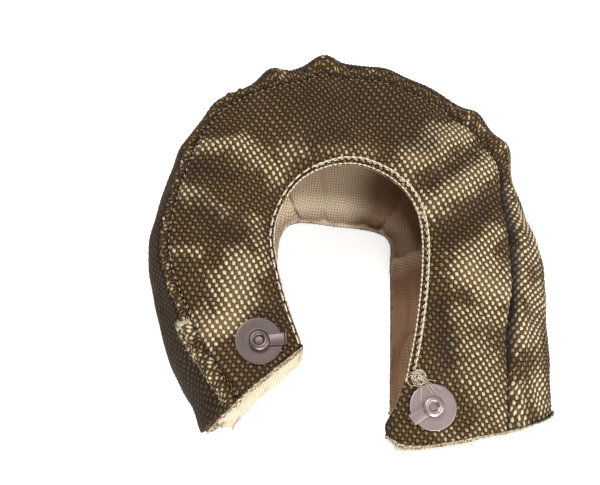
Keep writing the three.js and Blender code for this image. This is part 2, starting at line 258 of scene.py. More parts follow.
# Waves of the front seam over the arch: angle from +Y, half width in degrees, outward shift
SEAM_WAVES = [(-50, 20, 2.0), (-10, 4, 3.2), (11, 6, 1.4), (40, 4, -2.0), (62, 9, 3.0), (97, 10, -1.4)]
# Shares of the way round by which the rim and the back are cut shorter than the front on the left leg
RIM_LEFT_TRIM = 0.01
BACK_LEFT_TRIM = 0.016
# The hem stands out at the heel of the left leg
HEEL_BULGE = 2.2
# The folded corner of the right leg bulges into the mouth and is tucked back from the end
CORNER_BULGE = 3.6
CORNER_TUCK = 3.4


def bearing_of(points):
    """Angle from +Y in degrees."""
    return np.degrees(np.arctan2(points[..., 0], points[..., 1]))


def waved_seam(points):
    shift = sum(out * bell(bearing_of(points), middle, width) for middle, width, out in SEAM_WAVES)
    return points + unit(points) * shift[..., None]


def end_bow(s, column):
    """How far the right leg's end bows out, from the end back over six of the source's stations."""
    fade = np.clip(1 - (1 - s) * STATIONS / 6, 0, 1)
    return RIGHT_END_BOW * fade ** 2 * np.sin(np.pi * np.clip(column / 7, 0, 1))


def bare_surface(panel, s, q):
    """Unwrinkled outer face of a panel in millimetres from the hub, at stations s and shares q across,
    and how firmly the anchors hold it."""
    trim = {
        "front": 0,
        "rim": RIM_LEFT_TRIM * smooth((q - 0.4) / 0.6),
        "back": RIM_LEFT_TRIM + BACK_LEFT_TRIM * q,
    }
    s = s + trim[panel] * np.clip(1 - s / 0.3, 0, 1)
    t = knot_share(s)
    lip, seam, rim = curve(LIP_KNOTS, t), waved_seam(curve(SEAM_KNOTS, t)), curve(RIM_KNOTS, t)
    back_seam, back_lip = curve(BACK_SEAM_KNOTS, t), curve(BACK_LIP_KNOTS, t)
    share = q[..., None]
    pull, bow = np.zeros_like(q), np.zeros_like(q)
    if panel == "front":
        from_end, from_lip = (1 - s) * WAY_ROUND, q * FACE_WIDTH
        corner = bell(from_end, 4.8, 5.48) * bell(from_lip, 0, 12)
        plan = lip + (seam - lip) * share - unit(seam - lip) * (CORNER_BULGE * corner)[..., None]
        z = LIP_HEIGHT + (SEAM_HEIGHT - LIP_HEIGHT) * q + FRONT_CROWN * 4 * q * (1 - q)
        z = z - SEAM_ROUND * smooth((q - 0.75) / 0.25)
        pull = anchor_pull(plan[..., 0], plan[..., 1], "front")
        z = z + (FRONT_SEAT - z) * pull
        bow = end_bow(s, np.interp(q, FRONT_STEPS, range(5)))
        bow = bow - CORNER_TUCK * bell(from_end, 0, 6.17) * bell(from_lip, 0, 4.5)
    elif panel == "rim":
        w, v = np.clip(2 * q, 0, 1), np.clip(2 * q - 1, 0, 1)
        upper_plan = seam + (rim - seam) * (2 * w - w * w)[..., None]
        lower_plan = rim + (back_seam - rim) * (v * v)[..., None]
        plan = np.where(share < 0.5, upper_plan, lower_plan)
        upper = SEAM_HEIGHT - SEAM_ROUND * (1 - w) ** 4 + (RIM_HEIGHT - SEAM_HEIGHT) * w
        lower = RIM_HEIGHT + (BACK_SEAM_HEIGHT - RIM_HEIGHT) * v
        z = np.where(q < 0.5, upper, lower)
        bow = end_bow(s, 4 + 6 * np.clip(q, 0, 0.5))
    else:
        plan = back_seam + (back_lip - back_seam) * share
        z = BACK_SEAM_HEIGHT * np.clip(1 - q / BACK_STEPS[1], 0, 1) ** 2
        z = z + BACK_LIP_HEIGHT * np.clip((q - BACK_STEPS[3]) / (1 - BACK_STEPS[3]), 0, 1) ** 1.5
        pull = anchor_pull(plan[..., 0], plan[..., 1], "back")
        z = z + (BACK_SEAT - z) * pull
    points = np.concatenate([plan, z[..., None]], -1)
    points[..., 1] -= bow
    return points, pull


def outward(points, panel):
    """Unit normals of a grid of points, facing out of the blanket."""
    normals = unit(np.cross(np.gradient(points, axis=1), np.gradient(points, axis=0)))
    row, column = points.shape[0] // 2, points.shape[1] // 2
    here = points[row, column]
    out = {"front": (0, 0, 1), "back": (0, 0, -1), "rim": (here[0], here[1], 0)}[panel]
    return normals if normals[row, column] @ np.array(out, float) > 0 else -normals


def pad_depth(panel, q, pull):
    """Depth of the pad: thin at the mouth, full past the first few millimetres, pressed at the anchors."""
    if panel == "rim":
        return np.full_like(q, PAD_DEPTH)
    from_lip = q if panel == "front" else 1 - q
    full = LIP_DEPTH + MAT * smooth(from_lip / MAT_RAMP)
    pressed = np.minimum(full, LIP_DEPTH + MAT_AT_RIVET)
    return full + (pressed - full) * pull


rng = np.random.default_rng(7)
WAVES = [(rng.uniform(-1, 1, 3), rng.uniform(0, 2 * math.pi)) for _ in range(24)]


def ripple(points, size):
    """Smooth variation between about -1 and 1, the same each run, with features of the given size."""
    total = np.zeros(points.shape[:-1])
    for direction, phase in WAVES:
        total += np.sin(points @ (direction / np.linalg.norm(direction)) * 2 * math.pi / size + phase)
    return total / 4.5


# Soft folds of the front panel, each from a point to a point in millimetres from the hub,
# with its half width, its height and how much painted highlight (glint) its crest takes
FRONT_FOLDS = [
    ((30, 38), (54, 54), 9.0, 2.6, 1.3),
    ((36, 12), (66, 37), 7.5, 2.6, 1.2),
    ((52, -14), (69, 2), 5.5, 1.8, 0.95),
    ((55, -19), (72, -29), 11.0, 2.2, 1.25),
    ((50, -42), (72, -40), 7.5, 0.6, 0.62),
    ((56, -56), (66, -84), 13.0, 1.4, 0.62),
    ((44, -100), (80, -98), 7.0, 0.5, 0.5),
    ((-82, 40), (-56, 41), 4.2, 2.2, 0.95),
    ((-56, 40), (-38, 26), 6.0, 2.0, 0.9),
    ((-36, 30), (-26, 42), 7.0, 1.0, 0.6),
    ((-84, 19), (-64, 5), 4.5, 2.2, 0.85),
    ((-88, -13), (-74, -15), 3.4, 0.8, 0.7),
    ((-48, 2), (-45, -18), 5.5, 1.0, 0.62),
    ((-53, -20), (-59, -43), 11.0, 2.2, 1.2),
    ((-58, -46), (-74, -56), 8.5, 2.0, 1.4),
    ((-14, 40), (8, 40), 5.0, 0.7, 0.45),
    ((20, 33), (27, 26), 4.5, 0.6, 0.5),
]
# Places of the front panel that sink, with painted shade and less painted highlight, in the same way
FRONT_HOLLOWS = [
    ((-24, 66), (26, 64), 14, 1.2, 0.62),
    ((-22, 46), (-6, 50), 7, 0.8, 0.7),
    ((-72, 6), (-58, -6), 7, 1.4, 0.85),
    ((-76, 30), (-64, 24), 5, 1.2, 0.8),
    ((-36, -46), (-44, -72), 9, 0.3, 0.7),
    ((39, -34), (43, -62), 5, 1.5, 0.9),
    ((38, 24), (60, 40), 3.5, 1.0, 0.7),
    ((44, -2), (72, 20), 6.0, 1.6, 0.75),
    ((36, 44), (14, 50), 6, 0.8, 0.75),
    ((-40, -2), (-34, -30), 4, 0.5, 0.6),
    ((14, -102), (17, -92), 4, 0, 0.95),
]
# Gathers of the rim just outside the seam: angle from +Y, half width in degrees, height
RIM_GATHERS = [
    (-63, 5, 1.6), (-43, 6, 2.6), (-24.5, 4.5, 5.4), (-8, 5, 5.6), (11, 7, 2.8),
    (26, 5, 0.8), (43, 4.5, 4.6), (57, 6, 5.6), (72, 5, 0.8), (88, 6, 1.0),
]


# How high the folds stand over the heights in the tables
FOLD_GAIN = 1.2


def segment_distance(x, y, start, end):
    """Distance from a segment."""
    start, end = np.array(start, float), np.array(end, float)
    step = end - start
    held = np.clip(((x - start[0]) * step[0] + (y - start[1]) * step[1]) / (step @ step), 0, 1)
    return np.hypot(x - start[0] - held * step[0], y - start[1] - held * step[1])


def fold_height(points):
    height = np.zeros(points.shape[:-1])
    for folds, way in ((FRONT_FOLDS, 1), (FRONT_HOLLOWS, -1)):
        for start, end, width, rise, _ in folds:
            away = segment_distance(points[..., 0], points[..., 1], start, end)
            height += FOLD_GAIN * way * rise * bell(away, 0, width)
    return height


def painted_light_share(points, folds):
    """How far the cloth lies in any of the folds, with ragged edges: the share of painted light that they
    give, painted highlight for the folds and painted shade for the hollows.
    """
    most = np.zeros(points.shape[:-1])
    rough = 1 + 0.3 * ripple(points, 15) + 0.12 * ripple(points, 5)
    for start, end, width, _, amount in folds:
        away = segment_distance(points[..., 0], points[..., 1], start, end)
        most = np.maximum(most, amount * bell(away, 0, width * rough, 2.6))
    return most


def gather_height(points):
    return sum(rise * bell(bearing_of(points), middle, width) for middle, width, rise in RIM_GATHERS)


# The stretch of the front seam, in shares of the way round, that is drawn into a deep crease
RIGHT_CREASE = (0.72, 0.965)
# Spacing of the small puckers that the seam's stitches pull into the cloth
PUCKER_PITCH = 6.5


def crease(s):
    """1 inside the crease of the right leg, fading over its ends."""
    start, end = RIGHT_CREASE
    return smooth((s - start) / 0.09) * smooth((end - s) / 0.04)


def wrinkled(panel, s, q, points, pull):
    """Lift of the cloth above its bare surface in millimetres, and its painted glint from 0 to 1: painted
    highlight on the front's fold crests, less in its hollows, beside the rim's seam and over the rim's lit
    right side, and at random on the back.
    """
    slit = crease(s)
    pucker = np.sin(2 * math.pi * s * WAY_ROUND / PUCKER_PITCH + 2.2 * ripple(points, 60))
    if panel == "front":
        free = 1 - 0.85 * pull
        from_seam, from_lip = (1 - q) * FACE_WIDTH, q * FACE_WIDTH
        lift = (fold_height(points) + 0.5 * ripple(points, 34)) * free + 0.16 * ripple(points, 13)
        lift = lift * (1 - 0.75 * bell(from_seam, 0, 4)) + 0.45 * pucker * bell(from_seam, 2.5, 2.5)
        lift = lift + slit * bell(from_seam, 6, 4)
        lift = lift * smooth(from_lip / 9) - 0.35 * bell(from_lip, 4.2, 1.3)
        return lift, painted_light_share(points, FRONT_FOLDS) * (1 - 0.6 * painted_light_share(points, FRONT_HOLLOWS))
    if panel == "rim":
        from_seam = q * RIM_WIDTH
        right = smooth((s - 0.7) / 0.08)
        lift = gather_height(points) * bell(np.maximum(from_seam, 8), 8, 24) * smooth(from_seam / 6)
        lift += 1.3 * bell(from_seam, 4.2, 2.6) * (1 + 0.5 * pucker) * (1 - slit)
        lift -= 1.3 * bell(from_seam, 9.5, 2.0) * (1 - smooth((s - 0.6) / 0.1))
        lift += 1.2 * slit * bell(from_seam, 7, 4)
        lift += HEEL_BULGE * bell(s * WAY_ROUND, 0, 8) * smooth(q * 5) * smooth((1 - q) * 3)
        lift += 0.9 * ripple(points, 52) * smooth(from_seam / 20) * smooth((1 - q) * 6)
        lift += 0.22 * ripple(points, 15)
        # Painted highlight on the rim: a glinting ridge beside the seam, and more over the right side, which
        # faces the light.
        ridge = bell(from_seam, 4.2, 3, 4) * (0.12 + 0.4 * ripple(points, 7))
        shoulder = right * bell(from_seam, 10, 11, 4) * (0.33 + 0.3 * ripple(points, 18))
        side = right * (0.3 + 0.3 * ripple(points, 26))
        return lift, np.clip(ridge + shoulder + side, 0, 1)
    lift = (0.25 * ripple(points, 15) - 0.6) * smooth((1 - q) * FACE_WIDTH / 8)
    return np.minimum(lift, 0), 0.35 + 0.35 * ripple(points, 30)


FRONT_SEAM = (("front", 1), ("rim", 0))
BACK_SEAM = (("rim", 1), ("back", 0))
SEAM_SINK = 1.5
BACK_SEAM_SINK = 0.8
# How far beside a seam the cloth is drawn down
SEAM_DRAW = 1.5


def seam_valley(s, seam, depth):
    """The line where two panels are sewn together, sunk between them."""
    normals = 0
    for panel, end in seam:
        q = np.array([0, 0.03]) if end == 0 else np.array([0.97, 1])
        points = bare_surface(panel, *np.meshgrid(s, q, indexing="ij"))[0]
        normals = normals + outward(points, panel)[:, end]
        line = points[:, end]
    return line - unit(normals) * np.broadcast_to(depth, s.shape)[:, None]


def sewn(panel, s, q, surface):
    """Draws the edges of a panel down into its seams, so that neighbours meet."""
    rows = s[:, 0]
    slit = crease(rows)
    edges = []
    if panel != "back":
        away = (1 - q) * FACE_WIDTH if panel == "front" else q * RIM_WIDTH
        edges.append((away, SEAM_DRAW + 1.7 * slit, seam_valley(rows, FRONT_SEAM, SEAM_SINK + 0.9 * slit)))
    if panel != "front":
        away = q * FACE_WIDTH if panel == "back" else (1 - q) * RIM_WIDTH
        edges.append((away, np.full_like(rows, SEAM_DRAW), seam_valley(rows, BACK_SEAM, BACK_SEAM_SINK)))
    for away, width, valley in edges:
        hold = bell(away, 0, width[:, None])[..., None]
        surface = surface * (1 - hold) + valley[:, None] * hold
    return surface


# How far the yarns lean over the ones that they cross
SLANT = 0.3
# Turn of the front and back cloth's yarns from the leg, in degrees
CUT_TURN = 8


def weave(u, v, sizes):
    """Height of the outer cloth's plain weave, from 0 in the gaps to 1 on the crest of a yarn."""
    a, b = u / sizes.warp_pitch, v / sizes.weft_pitch
    over = (np.floor(a) + np.floor(b)) % 2
    slanted = a % 1 + SLANT * (b % 1 - 0.5)
    across = np.maximum(1 - (2 * slanted - 1) ** 2, 0)
    length_wise = 1 - (2 * (b % 1) - 1) ** 2
    warp, weft = 0.25 + 0.75 * length_wise * np.sqrt(across), 0.6 * across * np.sqrt(length_wise)
    return np.where(over < 0.5, warp, weft)


def cloth_plan(panel, s, points):
    """Place on the flat cloth in millimetres, so that the yarns follow the cut."""
    drift = 0.22 * ripple(points, 9)
    if panel == "rim":
        steps = np.linalg.norm(np.diff(points, axis=1), axis=2)
        down = np.concatenate([np.zeros((len(s), 1)), np.cumsum(steps, axis=1)], 1)
        down = down - down[:, -1:]
        return s * WAY_ROUND + 0.8 * ripple(points, 40) + drift, down + 0.6 * ripple(points, 35) + drift
    turn = math.radians(CUT_TURN)
    x = points[..., 0] + 0.9 * ripple(points, 48) + drift
    y = points[..., 1] + 0.9 * ripple(points, 44) - drift
    return x * math.cos(turn) - y * math.sin(turn), x * math.sin(turn) + y * math.cos(turn)


def coarse_walls(fine, coarse):
    """Triangles between a fine row and a coarse row of corners that start and end together."""
    ratio = (len(fine) - 1) // (len(coarse) - 1)
    faces = []
    for k in range(len(coarse) - 1):
        first, middle = k * ratio, k * ratio + ratio // 2
        for m in range(ratio):
            apex = coarse[k] if first + m < middle else coarse[k + 1]
            faces.append((fine[first + m + 1], fine[first + m], apex))
        faces.append((coarse[k], coarse[k + 1], fine[middle]))
    return faces


def grid_faces(index):
    quads = np.stack([index[:-1, :-1], index[1:, :-1], index[1:, 1:], index[:-1, 1:]], -1)
    return quads.reshape(-1, 4).tolist()


def closed_sheet(name, outer, inner, step=1):
    """A closed mesh from a fine grid of points and a grid behind it that has every step-th point."""
    behind = inner[::step, ::step]
    fine = np.arange(outer[..., 0].size).reshape(outer.shape[:2])
    coarse = fine.size + np.arange(behind[..., 0].size).reshape(behind.shape[:2])
    faces = grid_faces(fine) + [face[::-1] for face in grid_faces(coarse)]
    faces += coarse_walls(fine[:, 0].tolist(), coarse[:, 0].tolist())
    faces += coarse_walls(fine[-1, :].tolist(), coarse[-1, :].tolist())
    faces += coarse_walls(fine[::-1, -1].tolist(), coarse[::-1, -1].tolist())
    faces += coarse_walls(fine[0, ::-1].tolist(), coarse[0, ::-1].tolist())
    return mesh_piece(name, np.vstack([outer.reshape(-1, 3), behind.reshape(-1, 3)]), faces)


def signed_volume(mesh):
    mesh.calc_loop_triangles()
    corners = np.zeros(len(mesh.loop_triangles) * 3, np.int32)
    mesh.loop_triangles.foreach_get("vertices", corners)
    places = np.zeros(len(mesh.vertices) * 3, np.float32)
    mesh.vertices.foreach_get("co", places)
    a, b, c = places.reshape(-1, 3)[corners.reshape(-1, 3)].transpose(1, 0, 2).astype(float)
    return float((a * np.cross(b, c)).sum() / 6)


def new_object(name, mesh):
    piece = bpy.data.objects.new(name, mesh)
    bpy.context.collection.objects.link(piece)
    return piece


def mesh_piece(name, points, faces):
    """A new closed object, its faces pointing out, from points in millimetres from the hub."""
    mesh = bpy.data.meshes.new(name)
    mesh.from_pydata(((np.asarray(points) + HUB) * MM).tolist(), [], faces)
    mesh.shade_smooth()
    if signed_volume(mesh) < 0:
        mesh.flip_normals()
    return new_object(name, mesh)


def with_behind(values, step):
    """Values of the fine grid, followed by those of the grid behind it."""
    return np.concatenate([values.ravel(), values[::step, ::step].ravel()])


def point_values(piece, name, values, step=1):
    attribute = piece.data.attributes.new(name, "FLOAT", "POINT")
    attribute.data.foreach_set("value", with_behind(values, step).astype(np.float32))


def cloth_map(piece, u, v, step=1):
    """A UV map in millimetres of flat cloth."""
    uv = np.stack([with_behind(u, step), with_behind(v, step)], 1).astype(np.float32)
    layer = piece.data.uv_layers.new(name="cloth")
    corners = np.zeros(len(piece.data.loops), np.int32)
    piece.data.loops.foreach_get("vertex_index", corners)
    layer.data.foreach_set("uv", uv[corners].ravel())


def finished(piece, material, slot, *nodes, fill=None):
    """Gives a piece its material, attaches it to the root body and hides the imported nodes it stands for;
    the fill is not used.
    """
    piece.data.materials.append(material)
    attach(piece, "root")
    if nodes:
        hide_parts(*nodes)


# Materials

MATH, MIX, NOISE, BUMP = "ShaderNodeMath", "ShaderNodeMix", "ShaderNodeTexNoise", "ShaderNodeBump"
TIMES, PLUS, MINUS = {"operation": "MULTIPLY"}, {"operation": "ADD"}, {"operation": "SUBTRACT"}
SCALED = {"operation": "MULTIPLY_ADD"}
CLAMPED = {"operation": "MULTIPLY_ADD", "use_clamp": True}
RGBA = {"data_type": "RGBA"}


def add_node(tree, kind, settings, *inputs, **named):
    """Adds a node with its settings, joins or sets its inputs in order or by name, gives its first output."""
    node = tree.nodes.new(kind)
    for key, value in settings.items():
        setattr(node, key, value)
    sockets = [socket for socket in node.inputs if socket.enabled]
    pairs = [*zip(sockets, inputs), *((node.inputs[key], value) for key, value in named.items())]
    for socket, value in pairs:
        if isinstance(value, bpy.types.NodeSocket):
            tree.links.new(value, socket)
        elif socket.type == "RGBA":
            socket.default_value = (*value[:3], 1)
        else:
            socket.default_value = value
    return next(socket for socket in node.outputs if socket.enabled)


def new_material(name, roughness):
    material = bpy.data.materials.new(name)
    material.use_nodes = True
    shader = material.node_tree.nodes["Principled BSDF"]
    shader.inputs["Roughness"].default_value = roughness
    return material, material.node_tree, shader


def finish_shader(tree, shader, colour, bump):
    tree.links.new(colour, shader.inputs["Base Color"])
    tree.links.new(bump, shader.inputs["Normal"])


def dimmed(colour, share):
    return [share * c for c in colour]


def crest(tree, place):
    """A round crest over each whole step of a place: 1 in its middle, 0 at its ends."""
    centred = add_node(tree, MATH, SCALED, place, 2, -1)
    square = add_node(tree, MATH, TIMES, centred, centred)
    return add_node(tree, MATH, {"operation": "SUBTRACT", "use_clamp": True}, 1, square)


def weave_nodes(tree, warp_pitch, weft_pitch):
    """The plain weave in the cloth's own map: crests across and along the yarn, which yarn is on top,
    the place in yarns and the place in millimetres."""
    place = add_node(tree, "ShaderNodeUVMap", {"uv_map": "cloth"})
    split = add_node(tree, "ShaderNodeSeparateXYZ", {}, place).node.outputs
    a = add_node(tree, MATH, {"operation": "DIVIDE"}, split[0], warp_pitch)
    b = add_node(tree, MATH, {"operation": "DIVIDE"}, split[1], weft_pitch)
    cell_a = add_node(tree, MATH, {"operation": "FLOOR"}, a)
    cell_b = add_node(tree, MATH, {"operation": "FLOOR"}, b)
    cells = add_node(tree, MATH, PLUS, cell_a, cell_b)
    turn = add_node(tree, MATH, {"operation": "FLOORED_MODULO"}, cells, 2)
    over = add_node(tree, MATH, {"operation": "LESS_THAN"}, turn, 0.5)
    within_a = add_node(tree, MATH, {"operation": "FRACT"}, a)
    within_b = add_node(tree, MATH, {"operation": "FRACT"}, b)
    leaning = add_node(tree, MATH, SCALED, within_b, SLANT, -SLANT / 2)
    slanted = add_node(tree, MATH, PLUS, within_a, leaning)
    scaled = add_node(tree, "ShaderNodeCombineXYZ", {}, a, b)
    return crest(tree, slanted), crest(tree, within_b), over, scaled, place


def outer_cloth_material(sizes, colours):
    """Basalt-fibre cloth, plain woven from flat glossy rovings: bronze, with painted highlights (pale glints)
    on the crests of its bright yarns and painted shade in the gaps, seams, crease and hollows.
    """
    material, tree, shader = new_material("woven_basalt_cloth", 0.72)
    across, along_yarn, over, scaled, place = weave_nodes(tree, sizes.warp_pitch, sizes.weft_pitch)
    # Painted highlight and painted shade come in as two attributes of the points.
    painted_glint = add_node(tree, "ShaderNodeAttribute", {"attribute_name": "painted_glint"}).node.outputs["Fac"]
    shade = add_node(tree, "ShaderNodeAttribute", {"attribute_name": "shade"}).node.outputs["Fac"]
    blotch = add_node(tree, NOISE, {}, place, Scale=0.55, Detail=2.0)
    fibre_place = add_node(tree, "ShaderNodeMapping", {}, place, Scale=(9, 0.7, 1))
    fibres = add_node(tree, NOISE, {}, fibre_place, Scale=1.0, Detail=2.0)
    cell = add_node(tree, "ShaderNodeVectorMath", {"operation": "FLOOR"}, scaled)
    lot = add_node(tree, "ShaderNodeTexWhiteNoise", {"noise_dimensions": "3D"}, cell)
    crown = add_node(tree, MATH, TIMES, along_yarn, across)
    under = add_node(tree, MATH, MINUS, 1, over)
    warp_top = add_node(tree, MATH, TIMES, over, crown)
    weft_top = add_node(tree, MATH, TIMES, under, crown)
    evenness = add_node(tree, MATH, SCALED, lot, 0.45, 0.55)
    float_top = add_node(tree, MATH, TIMES, warp_top, evenness)
    # Painted highlight: where the glint attribute is strong, bright yarns picked at random turn toward the
    # glint colour, most at their crests.
    blotched = add_node(tree, MATH, SCALED, blotch, 0.9, 1.5)
    keen = add_node(tree, MATH, TIMES, painted_glint, blotched)
    glint = add_node(tree, MATH, CLAMPED, lot, -0.75, keen)
    dull = add_node(tree, MIX, RGBA, lot, dimmed(colours.warp_dull, 0.7), colours.warp_dull)
    core = add_node(tree, MATH, CLAMPED, float_top, 1.5, 0.15)
    glinting = add_node(tree, MATH, TIMES, glint, core)
    warp_colour = add_node(tree, MIX, RGBA, glinting, dull, colours.warp_glint_colour)
    streaks = add_node(tree, MATH, TIMES, fibres, 0.45)
    streaked = add_node(tree, MIX, RGBA, streaks, warp_colour, colours.weft_dark)
    # Painted shade: the gaps between the yarns are darkened nearly to black.
    weft_share = add_node(tree, MATH, {"operation": "POWER"}, weft_top, 0.45)
    ground = add_node(tree, MIX, RGBA, weft_share, dimmed(colours.weft_dark, 0.12), colours.weft_dark)
    # Painted highlight that spills onto the dark yarns where the glint is strongest; the glinting dots also
    # grow larger.
    beyond = add_node(tree, MATH, {"operation": "SUBTRACT", "use_clamp": True}, painted_glint, 0.85)
    extra = add_node(tree, MATH, TIMES, beyond, 0.6)
    ground_share = add_node(tree, MATH, SCALED, glint, 0.1, extra)
    lit_ground = add_node(tree, MIX, RGBA, ground_share, ground, colours.warp_dull)
    low = add_node(tree, MATH, SCALED, glint, -0.07, 0.1)
    high = add_node(tree, MATH, SCALED, glint, -0.24, 0.6)
    edge = add_node(tree, "ShaderNodeMapRange", {"interpolation_type": "SMOOTHSTEP"}, warp_top, low, high)
    cloth = add_node(tree, MIX, RGBA, edge, lit_ground, streaked)
    # Painted shade: the shade attribute mixes the cloth toward the painted shade colour.
    shaded = add_node(tree, MIX, RGBA, shade, cloth, colours.painted_shade)
    height = add_node(tree, MATH, SCALED, weft_top, 0.6, warp_top)
    grain = add_node(tree, MATH, SCALED, fibres, 0.18, height)
    plain = add_node(tree, MATH, MINUS, 1, shade)
    bump = add_node(tree, BUMP, {}, plain, 0.5 * MM, Height=grain)
    finish_shader(tree, shader, shaded, bump)
    rough = add_node(tree, MATH, SCALED, glint, -0.25, 0.72)
    tree.links.new(rough, shader.inputs["Roughness"])
    shader.inputs["Specular IOR Level"].default_value = 0.14
    return material


def lining_material(sizes, colours):
    """Silica cloth, finely plain woven, matte and tan: its yarns show as a small even grid with painted shade
    in its gaps. The shade attribute turns it brown with painted shade, beside random stains from a noise.
    The yarns are drawn coarser than they are, because the real ones are too fine to show."""
    material, tree, shader = new_material("woven_silica_lining", 0.85)
    across, along_yarn, *_, place = weave_nodes(tree, sizes.lining_pitch, sizes.lining_pitch)
    shade = add_node(tree, "ShaderNodeAttribute", {"attribute_name": "shade"}).node.outputs["Fac"]
    facing = add_node(tree, "ShaderNodeAttribute", {"attribute_name": "facing"}).node.outputs["Fac"]
    blotch = add_node(tree, NOISE, {}, place, Scale=0.045, Detail=3.0)
    # Painted shade from the shade attribute, with random stains from the blotch noise
    stain_and_shade = add_node(tree, MATH, CLAMPED, blotch, 0.3, shade)
    base = add_node(tree, MIX, RGBA, stain_and_shade, colours.lining_tan, colours.lining_brown)
    crown = add_node(tree, MATH, TIMES, across, along_yarn)
    rounded = add_node(tree, MATH, {"operation": "POWER"}, crown, 0.5)
    # Painted shade in the gaps between the yarns
    gaps = add_node(tree, MATH, SCALED, rounded, -0.75, 0.75)
    grid = add_node(tree, MIX, RGBA, gaps, base, dimmed(colours.lining_brown, 0.3))
    faced = add_node(tree, MIX, RGBA, facing, grid, colours.tape_pale)
    finish_shader(tree, shader, faced, add_node(tree, BUMP, {}, 0.7, 0.25 * MM, Height=crown))
    shader.inputs["Specular IOR Level"].default_value = 0.25
    return material


def wool_material():
    """Needled silica mat: a white matte felt, clumped every millimetre or two."""
    material, tree, shader = new_material("needled_silica_mat", 0.95)
    place = add_node(tree, "ShaderNodeTexCoord", {}).node.outputs["Object"]
    felt = add_node(tree, NOISE, {}, place, Scale=0.7 / MM, Detail=4.0)
    white = add_node(tree, MIX, RGBA, felt, linear("#cfc9bd"), linear("#f1ede4"))
    finish_shader(tree, shader, white, add_node(tree, BUMP, {}, 0.6, 0.4 * MM, Height=felt))
    return material


def thread_material(colours):
    """Twisted glass thread: pale cream, matte, with the fine streaks of its plies."""
    material, tree, shader = new_material("twisted_glass_thread", 0.7)
    place = add_node(tree, "ShaderNodeTexCoord", {}).node.outputs["Object"]
    plies = add_node(tree, NOISE, {}, place, Scale=1.8 / MM, Detail=2.0)
    half = add_node(tree, MATH, TIMES, plies, 0.5)
    cream = add_node(tree, MIX, RGBA, half, colours.thread_cream, colours.thread_grey)
    finish_shader(tree, shader, cream, add_node(tree, BUMP, {}, 0.5, 0.1 * MM, Height=plies))
    return material


def steel_material(name, base):
    """Stamped stainless steel: satin, in a base colour that is one of two painted copies, shaded and lit,
    with fine brushing and rubbed spots.
    """
    material, tree, shader = new_material(name, 0.4)
    place = add_node(tree, "ShaderNodeTexCoord", {}).node.outputs["Object"]
    stretched = add_node(tree, "ShaderNodeMapping", {}, place, Scale=(1, 9, 1))
    brushing = add_node(tree, NOISE, {}, stretched, Scale=0.9 / MM, Detail=3.0)
    patches = add_node(tree, NOISE, {}, place, Scale=0.16 / MM, Detail=3.0)
    rubbed = add_node(tree, MATH, TIMES, patches, 0.6)
    steel = add_node(tree, MIX, RGBA, rubbed, base, dimmed(base, 0.72))
    finish_shader(tree, shader, steel, add_node(tree, BUMP, {}, 0.18, 0.05 * MM, Height=brushing))
    rough = add_node(tree, MATH, SCALED, patches, 0.22, 0.3)
    tree.links.new(rough, shader.inputs["Roughness"])
    shader.inputs["Metallic"].default_value = 1.0
    return material


# Pieces

# Rows along and columns across of each panel's cloth, fine enough for every yarn of the weave
GRIDS = {"front": (896, 104), "rim": (760, 128), "back": (640, 80)}
LINING_GRIDS = {"front": (320, 40), "rim": (320, 56), "back": (320, 40)}
MAT_GRID = (216, 32)
# The hidden side of a sheet has every so many-th point of the side that shows
CLOTH_STEP = 8
LINING_STEP = 4
MAT_STEP = 4
HEM_RADIUS = 1.5


def cloth_grid(panel, rows, columns):
    """Stations, shares across and the bare surface of a panel as grids."""
    s, q = np.meshgrid(np.linspace(0, 1, rows + 1), np.linspace(0, 1, columns + 1), indexing="ij")
    points, pull = bare_surface(panel, s, q)
    return s, q, points, outward(points, panel), pull


def hem_round(panel, q, lift):
    """The cloth turns down over the mouth edge in a small round."""
    from_lip = (q if panel == "front" else 1 - q) * FACE_WIDTH
    inside = np.clip(HEM_RADIUS - from_lip, 0, HEM_RADIUS)
    return lift - (HEM_RADIUS - np.sqrt(np.maximum(HEM_RADIUS ** 2 - inside ** 2, 0)))


def painted_shade_of(panel, s, q, points):
    """Painted shade that darkens the cloth, from 0 to 1: in the seam valley and the crease, over the rim of
    the left leg and most of the arch, which faces away from the light, and in the front's hollows.
    """
    slit = crease(s)
    if panel == "rim":
        from_seam = q * RIM_WIDTH
        # Painted shade on the rim's side away from the light, and in the seam valley and the crease
        left = 0.68 * (1 - smooth((s - 0.62) / 0.12)) * smooth((from_seam - 7) / 5)
        return np.clip(np.maximum(left, 0.94 * bell(from_seam, 0, 1.4 + 3.0 * slit, 6)), 0, 0.95)
    if panel == "front":
        # Painted shade in the seam valley and the crease, and in the hollows
        seam = (0.6 + 0.36 * slit) * bell((1 - q) * FACE_WIDTH, 0, 1.2 + 3.5 * slit, 6)
        return np.clip(np.maximum(seam, 0.55 * painted_light_share(points, FRONT_HOLLOWS)), 0, 0.95)
    return np.zeros_like(q)


